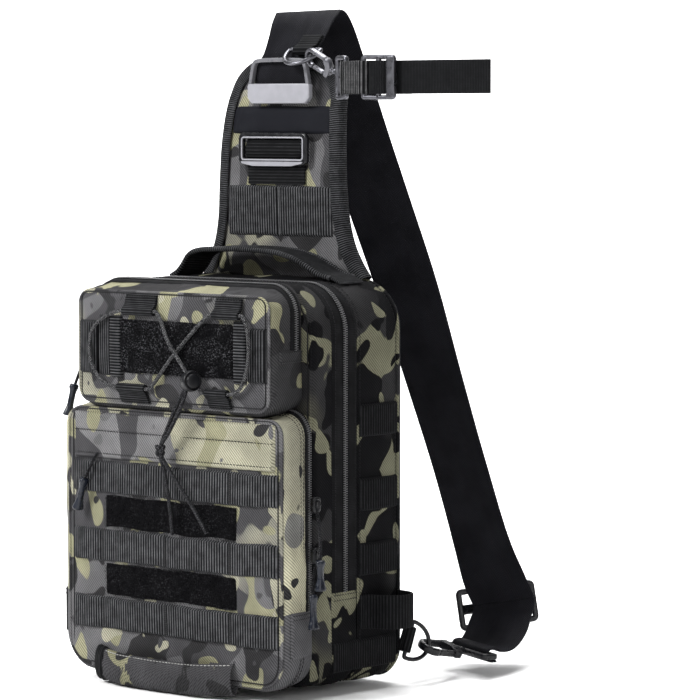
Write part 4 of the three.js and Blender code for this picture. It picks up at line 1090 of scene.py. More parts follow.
def bowed(x, z):
    lift = np.zeros_like(x)
    for start, end in zip(SEWN, SEWN[1:]):
        share = np.clip((x - start) / (end - start), 0, 1)
        lift += 1.5 * np.sin(math.pi * share) ** 0.7 * ((x >= start) & (x <= end))
    return 0.3 + lift


for node, z in ROWS.items():
    low, high = z - ROW_HEIGHT / 2, z + ROW_HEIGHT / 2
    span = (SEWN[0], SEWN[-1], low, high)
    slab(node + "_webbing", lower_face, FRONT, span, bowed, 1.4, RIBBED, WEB_STEP, node, web_ribs,
         wavy(34, 0.55, int(z)))
    for x in SEWN[1:-1]:
        for n, rung in enumerate(np.arange(low + 1.5, high - 1, 0.75)):
            y = lower_face(x, rung)[1] - 2.0
            slant = (0.5, -0.1) if n % 2 else (-0.1, 0.5)
            for ends, across, rise in zip(dark_thread, (-1.9, 1.9), slant):
                ends.append((x + across, y, rung + rise))

# Loop pile patches, and starts and ends of the fibres that stand off them
PATCHES = {"loop_patch_1": (-72, 63, 114.2, 138.8), "loop_patch_2": (-72, 63, 61.6, 86)}
PANEL = (-63, 63, 235, 276)
FIBRE_LIFT = 1.6
patch_fibres = ([], [])
panel_fibres = ([], [])
fringe = ([], [])


def fuzz(fibres, surface, span, count, seed):
    """Short fibres all over a patch, and a paler ragged fringe along its upper and lower edges."""
    random = np.random.default_rng(seed)
    x = random.uniform(span[0], span[1], count)
    z = random.uniform(span[2], span[3], count)
    root = surface(x, z) + FRONT * FIBRE_LIFT
    lean = random.normal(size=(count, 3)) * (0.7, 0.25, 0.7) + FRONT * 0.75
    fibres[0].extend(root)
    fibres[1].extend(root + lean)
    along = random.uniform(span[0], span[1], count // 6)
    patchy = ripple(np.stack([along, 0 * along, 0 * along], -1), 26, seed) > -0.2
    along = along[patchy]
    edge = np.where(random.uniform(size=len(along)) < 0.5, span[2], span[3])
    root = surface(along, edge + random.normal(size=len(along)) * 0.5) + FRONT * FIBRE_LIFT * 0.8
    lean = random.normal(size=(len(along), 3)) * (1.0, 0.3, 0.5)
    lean[:, 2] += np.where(edge == span[2], -0.5, 0.5)
    fringe[0].extend(root)
    fringe[1].extend(root + lean)


for seed, (node, span) in enumerate(PATCHES.items()):
    slab(node + "_pile", lower_face, FRONT, span, 0.3, 1.4, PATCH_PILE, CLOTH_STEP, node, uneven(9, 0.15, 41),
         wavy(30, 0.7, 44 + seed))
    fuzz(patch_fibres, lower_face, span, 4200, 60 + seed)
slab("loop_panel_pile", upper_face, FRONT, PANEL, 0.3, 1.4, LOOP_PILE, CLOTH_STEP, "loop_panel",
     uneven(9, 0.15, 43))
fuzz(panel_fibres, upper_face, PANEL, 6500, 66)
spindles("patch_fibres", *patch_fibres, 0.11, PATCH_PILE, sides=3)
spindles("panel_fibres", *panel_fibres, 0.11, LOOP_PILE, sides=3)
spindles("pile_fringe", *fringe, 0.12, PILE_FRINGE, sides=3)

# Bands and bindings of the upper pocket
SIDE_BANDS = {"side_band_left": (-97.4, -76.6, 233, 274), "side_band_right": (76.6, 94.2, 233, 274)}


def band_lift(x, z):
    return 0.4 + 1.3 * np.sin(math.pi * np.clip((np.abs(x) - 76.2) / 18, 0, 1))


for node, span in SIDE_BANDS.items():
    slab(node + "_webbing", upper_face, FRONT, span, band_lift, 1.5, RIBBED_BROAD, BAND_STEP, node, band_ribs)
slab("panel_binding_left_strip", upper_face, FRONT, (-75.4, -63.2, 232, 278.5), 0.4, 1.8, RIBBED_BROAD,
     BAND_STEP, "panel_binding_left", band_ribs)
slab("panel_binding_left_tape", upper_face, FRONT, (-62.8, -50.5, 231.5, 278.5), 1.5, 1.6, RIBBED_BROAD,
     LEVEL_STEP, None, level_ribs, turned=True)
slab("panel_binding_right_tape", upper_face, FRONT, (63.4, 75.6, 231.5, 278.5), 0.4, 1.8, RIBBED_BROAD,
     LEVEL_STEP, "panel_binding_right", level_ribs, turned=True)

# Cord tabs of the upper pocket
TAB_ROLL = 2.55
# How far the two ends of a tab run from its cord, upwards or downwards
NECK_UP, NECK_DOWN = (12.6, 8.4, 5), (11.5, 8, 5)


def cord_tab(name, start, end, z, way):
    """A fold of webbing round the cord, its two ends running to the edge of the pocket."""
    middle = (start + end) / 2
    eye = in_tab(name, middle)[0][1]

    def on_face(rise, lift):
        return (upper_face(middle, z + way * rise)[1] - lift, z + way * rise)

    turns = np.radians(np.linspace(40, 320, 13))
    roll = [(eye + TAB_ROLL * math.sin(a + math.pi), z + way * TAB_ROLL * math.cos(a)) for a in turns]
    rises = NECK_UP if way > 0 else NECK_DOWN
    line = [on_face(rise, lift) for rise, lift in zip(rises, (1.9, 2.5, 3.2))] + roll
    line += [on_face(rise, lift) for rise, lift in zip(rises[::-1], (1.0, 0.7, 0.6))]
    stations = [(middle, y, h, *RIGHT, (end - start) / 2) for y, h in line]
    ribbon(name + "_fold", stations, 1.2, RIBBED_FINE, FINE_RIB, 0.08, 0.45, node=name)
    for rung in (4.6, rises[0] - 1):
        y, h = on_face(rung, 3.4)
        stitch([(start + 2, y, h), (middle, y, h), (end - 2, y, h)], long=1.8, gap=0.8)


for name, tab in CORD_TABS.items():
    cord_tab(name, *tab)


# Side of the body: webbing rows and the rod's loop

# Rows on the right gusset that bow between their ends: low, high
SIDE_ROWS = {"molle_side_1": (188, 213), "molle_side_2": (131.5, 156.5), "molle_side_3": (82, 107)}
ROW_FROM, ROW_TO = -48, -4
# The rod's loop seen from above: x, y
ROD_LOOP = [
    (108.7, -47.5), (109.2, -43), (112.5, -39.5), (119, -37.5), (126, -35), (131.5, -29), (133.4, -21),
    (131, -13), (125, -7.5), (117, -5.4), (111, -5.2), (109.3, -3.4), (108.9, -1),
]
ROD_LOOP_Z, ROD_LOOP_HALF = 54.5, 13


def gusset(y, z):
    """The right gusset as a surface of y and z."""
    share = np.clip((y - ZIP_REAR) / (REAR - ZIP_REAR), 0, 1)
    return np.stack([HALF_WIDTH + REAR_BULGE * np.sin(math.pi * share), y, z], -1)


def side_lift(y, z):
    return 0.7 + 1.2 * np.sin(math.pi * np.clip((y - ROW_FROM) / (ROW_TO - ROW_FROM), 0, 1))


for node, heights in SIDE_ROWS.items():
    slab(node + "_webbing", gusset, RIGHT, (ROW_FROM, ROW_TO, *heights), side_lift, 1.5, RIBBED_DARK,
         WEB_STEP, node, web_ribs)
slab("molle_side_4_webbing", gusset, RIGHT, (-78, -6, 11, 34), 0.8, 1.5, RIBBED_DARK,
     WEB_STEP, "molle_side_4", web_ribs)
stations = [(x, y, ROD_LOOP_Z, *UP, ROD_LOOP_HALF) for x, y in ROD_LOOP]
ribbon("rod_loop_webbing", stations, 1.8, RIBBED_DARK, node="rod_loop")


# Handles

# The top handle seen from the front: x, z
TOP_HANDLE = [
    (-95, 299.2), (-87, 304.6), (-80, 308.4), (-74.5, 314), (-69, 321), (-61, 325), (-25, 327.4), (5, 327),
    (25, 325.4), (42, 321), (56, 315), (66, 310.2), (77, 307.8), (87, 304.2),
]
HANDLE_Y, HANDLE_HALF = -33, 14
stations = [(x, HANDLE_Y, z, *BEHIND, HANDLE_HALF) for x, z in TOP_HANDLE]
ribbon("top_handle_webbing", stations, 2.4, RIBBED_FINE, FINE_RIB, 0.08, node="top_handle")
for side, y in (("front", HANDLE_Y - HANDLE_HALF), ("rear", HANDLE_Y + HANDLE_HALF)):
    edge = [(x, y, z) for x, z in TOP_HANDLE[1:-1]]
    tube("top_handle_edge_" + side, edge, 2.1, RIBBED_BROAD, 0.5, sides=12, ribs=(BAND_RIB, 0.14))

# Sleeve at the foot of the bag: its middle, how it sags and bows, and how thick it is at its ends and middle
FOOT = {
    "x": -9, "half": 70, "z": 9, "sag": 3, "seat": -138.5, "bow": 8, "height": 12, "end": 5, "middle": 6.2,
}
FOOT_RIB = 3.4
# Its right end, turned in: how much smaller, how far inside
TURNED_IN = ((0.4, -0.4), (0.9, 0.2), (1.1, 6), (1.2, 24))
# Collar at its left end: where, how far outside the sleeve
COLLAR = [
    (-1.005, 0.2), (-1.0, 1.0), (-0.965, 1.5), (-0.93, 1.1), (-0.92, 1.1), (-0.885, 1.5), (-0.85, 1.0),
    (-0.845, 0.2),
]
# Point of a ring at which the hem is sewn
HEM_SIDE = 13


def foot_ring(t, grow=0.0, shift=0.0):
    """A ring of the sleeve at the foot of the bag, from its left end at -1 to its right end at 1."""
    rise = 1 - t * t
    thick = FOOT["end"] + (FOOT["middle"] - FOOT["end"]) * min(1, 1.6 * rise) + grow
    x = FOOT["x"] + t * FOOT["half"] + shift
    y = FOOT["seat"] - FOOT["bow"] * min(1, 1.5 * rise)
    z = FOOT["z"] - FOOT["sag"] * rise
    angle = np.linspace(0, TURN, 40, endpoint=False)
    ring = np.stack([0 * angle, np.cos(angle) * thick, np.sin(angle) * (FOOT["height"] + grow)], 1)
    return np.array((x, y, z)) + ring


sleeve = np.stack([foot_ring(t) for t in np.linspace(-1, 1, 201)])
slant = sleeve[..., 0] + 0.35 * np.abs(sleeve[..., 2] - FOOT["z"])
fold = (0.55 * np.cos(TURN * slant / FOOT_RIB) + 0.45 * ripple(sleeve, 16, 71)
        + 0.5 * np.clip(ripple(sleeve * (1, 1, 0.25), 9, 72), 0, 2))
sleeve[..., 1] -= fold * smooth((FOOT["half"] - np.abs(sleeve[..., 0] - FOOT["x"])) / 12)
inside = [foot_ring(1, -smaller, -depth) for smaller, depth in TURNED_IN]
grid("bottom_handle_roll", np.concatenate([sleeve, inside]), CAMO_SLEEVE, around=True, ends=True,
     node="bottom_handle")
grid("bottom_handle_collar", [foot_ring(t, grow) for t, grow in COLLAR], RIBBED_DARK, around=True)
stitch([foot_ring(t, 0.5)[HEM_SIDE] for t in np.linspace(-0.8, 0.96, 24)], thread=pale_thread)


# Shoulder pad, its binding, webbing and elastic

PAD_X = -5
PAD_THICK = 4.5
# How square the section of the pad is: 1 is an ellipse, 0 a rectangle
PAD_ROUND = 0.45
# Outline of the pad: height, half width, middle y
PAD_ROWS = np.array([
    (304.9, 77.8, -3), (316, 70.5, -4), (330, 63.5, -5), (350, 58.5, -6), (380, 56, -7), (410, 54.5, -6),
    (433, 52.5, -3), (446, 50.4, 0.25), (459.3, 43.6, 2), (468.6, 27, 3.4),
])
# Middle line of the bound edge: height, half width, middle y
EDGE_ROWS = np.array([
    (305.6, 82.2, -3), (316, 75.2, -4), (330, 68.1, -5), (350, 63, -6), (380, 60.5, -7), (410, 59, -6),
    (434, 57, -3), (447.4, 55, 0.25), (462, 47.5, 2), (473, 30, 3.4),
])
PAD_FOOT, PAD_TOP = PAD_ROWS[0, 0], PAD_ROWS[-1, 0]


def pad_half(z):
    return np.interp(z, PAD_ROWS[:, 0], PAD_ROWS[:, 1])


def pad_middle(z):
    return np.interp(z, PAD_ROWS[:, 0], PAD_ROWS[:, 2])


def pad_front(x, z):
    """The front of the pad as a surface of x and z."""
    share = np.clip(np.abs(x - PAD_X) / pad_half(z), 0, 1)
    return np.stack([x, pad_middle(z) - PAD_THICK * np.sqrt(1 - share ** 6), z], -1)


turn = np.linspace(0, TURN, 96, endpoint=False)
wide, deep = (np.sign(way) * np.abs(way) ** PAD_ROUND for way in (np.cos(turn), np.sin(turn)))
pad = []
for z in np.concatenate([[PAD_FOOT], np.linspace(EDGE_ROWS[0, 0], PAD_TOP, 80)]):
    close = 0.5 if z in (PAD_FOOT, PAD_TOP) else 1
    y = pad_middle(z) + PAD_THICK * deep * close
    pad.append(np.stack([PAD_X + pad_half(z) * wide, y, np.full_like(turn, z)], 1))
pad = np.stack(pad)
from_edge = pad_half(pad[..., 2]) - np.abs(pad[..., 0] - PAD_X)
pad[..., 1] += 0.5 * ripple(pad, 42, 81) * smooth(from_edge / 12)
cushion = grid("shoulder_pad_cloth", pad, CAMO_PAD, around=True, uv=flat_uv(pad), ends=True,
               node="shoulder_pad")

# Wide ribbed binding folded over the pad's edge: how far it reaches over the pad, and its section, outwards
# and in y
FLANGE = 7.6
BINDING_STEP = 0.5
section = [(-FLANGE, -5.1), (-FLANGE + 0.4, -5.7)]
section += [(-FLANGE * s, -5.9) for s in (0.8, 0.6, 0.4, 0.2)]
section += [(3.2 * math.cos(a), -5.7 * math.sin(a)) for a in np.radians(np.linspace(75, -75, 12))]
section += [(-FLANGE * s, 5.9) for s in (0.2, 0.4, 0.6, 0.8)]
section += [(-FLANGE + 0.4, 5.7), (-FLANGE, 5.1)]
right = [(PAD_X + x, y, z) for z, x, y in EDGE_ROWS]
left = [(PAD_X - x, y, z) for z, x, y in EDGE_ROWS[::-1]]
line = curve(right + left, BINDING_STEP)
ahead = directions(line)
out = unit(np.stack([ahead[:, 2], 0 * ahead[:, 0], -ahead[:, 0]], 1))
wave = 0.08 * np.cos(TURN * np.arange(len(line)) * BINDING_STEP / BINDING_RIB)
points = []
for a, b in section:
    reach = a * (1 + wave / 6 * (a > 0))
    depth = b + np.sign(b) * wave
    points.append(line + out * reach[:, None] + BEHIND * depth[:, None])
run = np.arange(len(line))[:, None] * BINDING_STEP
wide = lengths(np.array(section), 0)[None]
binding_uv = np.stack(np.broadcast_arrays(run, wide), -1)
grid("pad_binding_tape", np.stack(points, 1), RIBBED_BINDING, uv=binding_uv, node="pad_binding")


def split_ribs(x, z):
    """Ribs with a sewn line down the middle of the pad."""
    return web_ribs(x, z) - 1.2 * np.exp(-((x - PAD_X) / 1.4) ** 2)


def elastic_relief(x, z):
    """Soft unevenness with a slanting fold near the left end."""
    fold = np.exp(-((x - PAD_X + 43 - 0.25 * (z - 428)) / 1.6) ** 2)
    return uneven(24, 0.25, 85)(x, z) + 0.9 * fold


slab("pad_webbing", pad_front, FRONT, (PAD_X - 53.4, PAD_X + 53.4, 337, 376.6), 0.3, 1.7, RIBBED,
     (0.5, 1.6), "pad_molle", split_ribs)
slab("pad_elastic_band", pad_front, FRONT, (PAD_X - 51.4, PAD_X + 51.4, 417, 438.4), 0.3, 1.5, ELASTIC,
     CLOTH_STEP, "pad_elastic", elastic_relief)
for x in (PAD_X - 51, PAD_X + 51):
    stitch([(x, pad_front(x, z)[1] - 2.2, z) for z in (339, 350, 362, 375)], long=1.8, gap=0.6)

# Strap through the pad's ring, seen from the side: y, z
PAD_STRAP = [
    (-12.9, 377.6), (-12.9, 392), (-13, 396.6), (-15, 400), (-16.4, 405), (-15, 410), (-13, 413.4),
    (-12.9, 416.4),
]
PAD_STRAP_X, PAD_STRAP_HALF = -6, 29.5
stations = [(PAD_STRAP_X, y, z, *RIGHT, PAD_STRAP_HALF) for y, z in PAD_STRAP]
ribbon("pad_strap_webbing", stations, 1.8, RIBBED_DARK, node="pad_strap")


# Buckles, rings and hooks

def plane(u, v):
    """Unit directions of a plane: u, v made square to it, and its normal."""
    u = unit(u)
    normal = unit(np.cross(u, v))
    return u, np.cross(normal, u), normal


def frame_ring(name, centre, u, v, half_u, half_v, bar, depth, material, node=None, radius=5):
    """A rounded rectangular ring of one bar, in the plane of u and v."""
    u, v, normal = plane(u, v)
    flat = rounded(half_u - bar / 2, half_v - bar / 2, max(radius - bar / 2, 1.2), 6)
    section = rounded(bar / 2, depth / 2, min(bar, depth) * 0.34)
    sweep(name, centre + flat[:, :1] * u + flat[:, 1:] * v, section, normal, material, node=node)


def bar_between(name, start, end, half_a, half_b, way, material):
    """A straight rounded bar."""
    section = rounded(half_a, half_b, min(half_a, half_b) * 0.7)
    sweep(name, np.linspace(start, end, 6), section, way, material, closed=False)


# The rounded edge of a plate: share of its bevel, share of half its depth
PLATE_EDGE = ((2.2, -1), (1.0, -1), (0.3, -0.82), (0, -0.5), (0, 0.5), (0.3, 0.82), (1.0, 1), (2.2, 1))


def plate(name, centre, u, v, shape, depth, bevel, material, node=None):
    """A flat plate of an outline in u and v with rounded edges."""
    u, v, normal = plane(u, v)
    shape = np.asarray(shape, float)
    middle = (shape.min(0) + shape.max(0)) / 2
    size = (shape.max(0) - shape.min(0)) / 2
    rows = []
    for inset, height in PLATE_EDGE:
        drawn = middle + (shape - middle) * (1 - inset * bevel / size)
        rows.append(centre + drawn[:, :1] * u + drawn[:, 1:] * v + normal * height * depth / 2)
    grid(name, np.stack(rows), material, around=True, ends=True, node=node)


# Outlines of plates and of the upper buckle's bow: across, up
# The first outline is of the painted highlight along the pad ring's lower bar
RING_BAR_HIGHLIGHT = [(-32, 1.7), (32, 1.7), (31, 0.2), (20, -1.9), (-20, -1.9), (-31, 0.2)]
BUCKLE_BOW = [
    (-29.8, -2.4), (-26.2, 13.4), (-24.6, 15.6), (-22, 16.4), (22, 16.4), (24.6, 15.6), (26.2, 13.4),
    (29.8, -2.4),
]
BUCKLE_PLATE = [
    (-31, -1.4), (-32, -3), (-32, -12.5), (-28, -17), (28, -17), (32, -12.5), (32, -3), (31, -1.4),
]
BUCKLE = np.array((-2, -13.55, 457.5))
frame_ring("pad_ring_frame", (PAD_STRAP_X, -16.4, 405), RIGHT, UP, 35.5, 13, 5, 4.5, PLASTIC,
           "pad_ring_buckle")
# Painted highlights on the ring: a bright plate along its lower bar and a thin pale frame round its opening
plate("pad_ring_bar_highlight", (PAD_STRAP_X, -18.8, 393.6), RIGHT, UP, RING_BAR_HIGHLIGHT, 1.4, 0.2, PLATE)
frame_ring("pad_ring_edge_highlight", (PAD_STRAP_X, -18.5, 405.4), RIGHT, UP, 32.2, 9.4, 1.3, 1.0, PLATE, radius=3)
bow = curve([BUCKLE + (x, 0, z) for x, z in BUCKLE_BOW], 0.8)
sweep("upper_buckle_bow", bow, rounded(1.6, 2.2, 0.8), BEHIND, BOW, closed=False)
plate("upper_buckle_plate", BUCKLE, RIGHT, UP, BUCKLE_PLATE, 5, 0.6, PLATE, "upper_buckle")

SLING = [
    (-3.6, -9.6, 441, 1, 0, 0, 27), (-3.6, -9.8, 455, 1, 0, 0, 27.4),
    (-3.2, -9.6, 467, 1, 0.02, 0, 27.4), (1.5, -6.5, 479, 1, 0.08, 0, 25),
    (4, 0, 492, 0.97, 0.25, 0.01, 25), (3, 8, 504, 0.9, 0.43, 0.03, 25),
    (1, 15.5, 510.2, 0.83, 0.55, 0.04, 25.5), (-2.6, 22, 512.6, 0.77, 0.64, 0.05, 25.5),
    (-3.6, 28.5, 511, 0.76, 0.64, 0.07, 25.5), (-3.2, 34, 505, 0.76, 0.64, 0.14, 25),
    (-1, 40, 490.8, 0.75, 0.62, 0.22, 25), (4, 45.5, 468, 0.74, 0.61, 0.28, 25),
    (10.5, 50.5, 443.4, 0.73, 0.6, 0.31, 25), (20, 60, 402, 0.75, 0.57, 0.32, 25),
    (30, 70, 360, 0.8, 0.5, 0.31, 25), (45.5, 85, 296, 0.86, 0.4, 0.29, 25),
    (61.5, 100, 222, 0.94, 0.21, 0.27, 25), (77.5, 115, 148, 0.965, 0.12, 0.24, 25),
    (91, 128.5, 82, 0.94, 0.24, 0.24, 25), (98.5, 133, 58, 0.84, 0.5, 0.2, 25),
    (106.5, 134.5, 42.5, 0.76, 0.64, 0.14, 25),
]
ribbon("sling_webbing", SLING, 1.8, STRAP, rib=0.04, step=0.9, node="sling_strap")

ADJUSTER = np.array((97.9, 136.6, 38.4))
ADJUSTER_U, ADJUSTER_V = unit((0.76, 0.64, 0.14)), unit((-0.47, -0.09, 0.88))
ADJUSTER_BAR = ADJUSTER_U * 28
frame_ring("adjuster_frame", ADJUSTER, ADJUSTER_U, ADJUSTER_V, 32, 17, 5, 4.4, PLASTIC, "strap_adjuster")
bar_between("adjuster_bar", ADJUSTER - ADJUSTER_BAR, ADJUSTER + ADJUSTER_BAR, 4, 2.2,
            np.cross(ADJUSTER_U, ADJUSTER_V), PLASTIC)


def along_hook(at, u, v, a, b):
    """Points of a hook from lengths along it and across it."""
    return at + np.multiply.outer(a, u) + np.multiply.outer(b, v)


def square_to(vector, axis):
    vector, axis = np.asarray(vector, float), unit(axis)
    return unit(vector - axis * vector.dot(axis))


# How far from its straight bar the bow of a ring starts
BOW_START = 2


def ring_point(ring, degrees):
    """A point on the bow of a wire ring, from one end of its straight bar to the other at 180 degrees."""
    turn = math.radians(degrees)
    out = BOW_START + (ring["reach"] - BOW_START) * math.sin(turn)
    along = unit(ring["bar"]) * ring["half"] * math.cos(turn)
    return ring["at"] + along + square_to(ring["out"], ring["bar"]) * out


def wire_ring(name, ring, material, node):
    bow = [ring_point(ring, d) for d in np.linspace(0, 180, 19)]
    foot = unit(ring["bar"]) * ring["half"]
    bar = [ring["at"] - foot * s for s in (0.98, 0.5, 0, -0.5, -0.98)]
    tube(name, bow + bar, ring["wire"] / 2, material, 1.2, sides=12, closed=True, node=node)


EYE_ROLL = 3.3


def eye_tab(name, ring, neck_way, neck, length, node):
    """Webbing folded round the straight bar of a ring, both ends running the same way."""
    bar, way = unit(ring["bar"]), square_to(neck_way, ring["bar"])
    side = np.cross(bar, way)
    turns = np.radians(np.linspace(30, 330, 13))
    loop = [(-EYE_ROLL * math.sin(a), EYE_ROLL * math.cos(a)) for a in turns]
    route = [(-0.75, neck), (-0.9, neck * 0.7)] + loop + [(0.9, neck * 0.7), (0.75, neck)]
    stations = [(*(ring["at"] + side * s + way * n), *bar, length / 2) for s, n in route]
    ribbon(name, stations, 1.2, RIBBED_DARK, node=node)


HOOK_SLACK = 1.7
# From a hook's swivel to its base, and how far the swivel's pin reaches out into the bar of the base
HOOK_GAP = 1.4
SWIVEL_PIN = 2.0
# A hook's barrel: share of its radius, share of the shank's length
BARREL = ((1.15, 0), (1.15, 0.2), (0.8, 0.3), (0.8, 0.45), (1.1, 0.52), (1.1, 0.9), (0.8, 1))


def hook_at(ring, degrees, hook, u):
    """Where a hook starts that hangs in a ring."""
    return ring_point(ring, degrees) + u * (hook["bar"] + ring["wire"] / 2 + HOOK_SLACK - hook["length"])


def snap_hook(name, hook, at, u, v, material):
    """A hook with a grooved barrel, a curved end and a sprung gate on a lever of its own."""
    half, bar, hinge, depth, shank = (hook[key] for key in ("half", "bar", "hinge", "depth", "shank"))
    normal = np.cross(u, v)
    middle, end = half - bar / 2, hook["length"] - half
    bend = np.radians(np.linspace(-90, 90, 19))
    a = np.concatenate([np.linspace(hinge - 4, end, 6)[:-1], end + middle * np.cos(bend), [hook["tip"]]])
    b = np.concatenate([np.full(5, -middle), middle * np.sin(bend), [middle]])
    section = rounded(bar / 2, depth / 2, bar * 0.38)
    sweep(name + "_body", along_hook(at, u, v, a, b), section, normal, material, closed=False, node=name)
    root = [
        (0.2, -bar), (bar, -half), (hinge + 1, -half), (hinge + 1, -half + bar), (hinge - 2, -1),
        (hinge - 2, 1), (hinge, half - bar), (hinge, half), (bar, half), (0.2, bar),
    ]
    plate(name + "_root", at, u, v, root, depth, 0.5, material)
    radius = depth * 0.45
    profile = [(radius * 0.9, 1.5)] + [(radius * wide, -shank * down) for wide, down in BARREL]
    profile += [(radius * 0.7, -shank - SWIVEL_PIN)]
    lathe(name + "_barrel", profile, at, u, material, flat_way=normal)
    heel = bar / 2 - 0.3
    start = hinge + heel + 0.5
    line = along_hook(at, u, v, np.linspace(start - heel * 0.4, hook["tip"] - 0.5, 8), np.full(8, middle))
    section = rounded(heel, (depth - 1) / 2, heel * 0.7)
    sweep(name + "_gate_bar", line, section, normal, material, closed=False, node=name + "_gate",
          body=name + "_lever")


# Rings: middle and way of the straight bar, the way the bow points, half width, reach and wire
SIDE_RING = {
    "at": np.array((113.6, 4.4, 28)), "bar": (0, 0.4, 0.92), "out": (0.25, 0.85, -0.45),
    "half": 14.5, "reach": 20, "wire": 3.4,
}
D_RING = {
    "at": np.array((21, -9.5, 482)), "bar": (1, 0, 0), "out": (0.15, -0.8, -0.55),
    "half": 16, "reach": 19, "wire": 3.4,
}
wire_ring("side_ring_wire", SIDE_RING, PLASTIC, "side_ring")
wire_ring("d_ring_wire", D_RING, STEEL, "d_ring")
eye_tab("side_ring_fold", SIDE_RING, (-0.92, -0.39, 0), 6.4, 20, "side_ring_tab")
eye_tab("ring_fold", D_RING, (0, 0.66, 0.75), 15, 20, "ring_tab")

LOWER_HOOK = {"length": 44, "half": 10, "bar": 4, "hinge": 11, "tip": 33, "depth": 6, "shank": 9}
LOWER_U = unit((0.03, -0.985, 0.17))
LOWER_V = square_to((0.915, -0.04, -0.4), LOWER_U)
LOWER_AT = hook_at(SIDE_RING, 90, LOWER_HOOK, LOWER_U)
snap_hook("lower_hook", LOWER_HOOK, LOWER_AT, LOWER_U, LOWER_V, PLASTIC)
ROD_HOOK = {"length": 31, "half": 8, "bar": 3.2, "hinge": 7.5, "tip": 22, "depth": 4.6, "shank": 4.6}
ROD_U = unit((-0.9, 0.1, 0.42))
ROD_V = square_to((-0.366, 0.34, -0.865), ROD_U)
ROD_AT = hook_at(D_RING, 30, ROD_HOOK, ROD_U)
snap_hook("rod_hook", ROD_HOOK, ROD_AT, ROD_U, ROD_V, STEEL)

# Lower strap, round the bar of its hook's base
BASE_HALF, BASE_WIRE = 7.5, 4.4
BASE_ACROSS = np.array((0.95, -0.3, -0.04))
BASE_BACK = unit((0.3, 0.95, 0))
BASE_CENTRE = LOWER_AT - LOWER_U * (LOWER_HOOK["shank"] + HOOK_GAP + BASE_HALF)
BASE_BAR = BASE_CENTRE + BASE_BACK * (BASE_HALF - BASE_WIRE / 2)
frame_ring("lower_hook_base_frame", BASE_CENTRE, BASE_ACROSS, (0.3, 0.95, -0.08), 30.5, BASE_HALF,
           BASE_WIRE, 4.6, PLASTIC, "lower_hook_base", radius=4)
LOWER_STRAP = [
    (106.75, 134.54, 42, 0.76, 0.64, 0.14, 25), (107.6, 132, 36.5, 0.77, 0.63, 0.11, 25),
    (109, 126.5, 30, 0.78, 0.62, 0.08, 25), (113, 116, 21.5, 0.86, 0.5, 0.04, 25),
    (116.5, 104, 15.4, 0.93, 0.3, 0, 25), (118.6, 95, 12.6, 0.97, 0.05, -0.03, 25),
]
# Distance behind the bar, height over it
BAR_WRAP = [(9, 2.4), (4, 4.6), (0, 5), (-3.6, 3.9), (-4.5, 0.4), (-3.8, -3.6), (0, -5), (3.5, -4.95)]
wrap = [(*(BASE_BAR + BASE_BACK * behind + UP * over), *BASE_ACROSS, 25) for behind, over in BAR_WRAP]
ribbon("lower_webbing", LOWER_STRAP + wrap, 1.8, STRAP, rib=0.04, step=0.8, node="lower_strap")


# Rod strap: hook base, doubled run, buckle, loop for the rod and free end

ROD_Z = 460
ROD_HALF = 12.6
ROD_BASE_HALF, ROD_BASE_WIRE = 6.75, 3.6
ROD_ALONG = unit((1, -0.2, 0))
ROD_CENTRE = ROD_AT - ROD_U * ROD_HOOK["shank"] + ROD_ALONG * (HOOK_GAP + ROD_BASE_HALF)
ROD_CENTRE[2] = ROD_Z
ROD_BAR = ROD_CENTRE + ROD_ALONG * (ROD_BASE_HALF - ROD_BASE_WIRE / 2)
ROD_BUCKLE = np.array((117, -36.5, ROD_Z))
# The doubled run from the hook's base to the buckle, and the strap, seen from above: x, y
ROD_TURN = ((0.85, -3.3), (-2.35, -2.6), (-3.65, 0), (-2.35, 2.8), (0.65, 3.6))
ANCHOR = [(ROD_BAR[0] + x, ROD_BAR[1] + y) for x, y in ROD_TURN]
ANCHOR += [
    (99, -31.6), (103, -33.4), (106, -34.6), (106.4, -37), (104.6, -39.5), (101.4, -39.7), (96.5, -37.6),
]
ROD_STRAP = [
    (93, -29.2), (101.5, -26.5), (106, -18), (113, -12), (121, -10), (129, -12.4), (133.6, -18.5),
    (133, -25.5), (127, -30), (117, -31.4), (110.6, -32.6), (109, -36.4), (111, -39.4), (117, -40.6),
    (123, -39.4), (125.8, -36.4), (127.6, -34.2), (133, -32.8), (146, -33.2), (170, -34.5), (198, -35),
    (222, -35),
]
frame_ring("rod_hook_base_frame", ROD_CENTRE, UP, ROD_ALONG, 17, ROD_BASE_HALF, ROD_BASE_WIRE, 4, STEEL,
           "rod_hook_base", radius=3.5)
anchor, strap = ([(x, y, ROD_Z, *UP, ROD_HALF) for x, y in line] for line in (ANCHOR, ROD_STRAP))
ribbon("rod_strap_anchor", anchor, 1.5, RIBBED_COARSE, COARSE_RIB, 0.35, closed=True)
ribbon("rod_strap_webbing", strap, 1.5, STRAP_ROD, ROD_RIB, node="rod_strap")
frame_ring("rod_buckle_frame", ROD_BUCKLE, UP, RIGHT, 17, 16.5, 3.6, 3.6, STEEL, "rod_strap_buckle",
           radius=3.5)
plate("rod_buckle_plate", ROD_BUCKLE + (13.2, -1.9, 0), UP, RIGHT, rounded(16.6, 3.9, 1.6), 2.8, 0.9, STEEL)
bar_between("rod_buckle_bar", ROD_BUCKLE - UP * 15, ROD_BUCKLE + UP * 15, 2, 1.8, BEHIND, STEEL)


# Zip pulls: slider, a loop of thin cord and a moulded grip

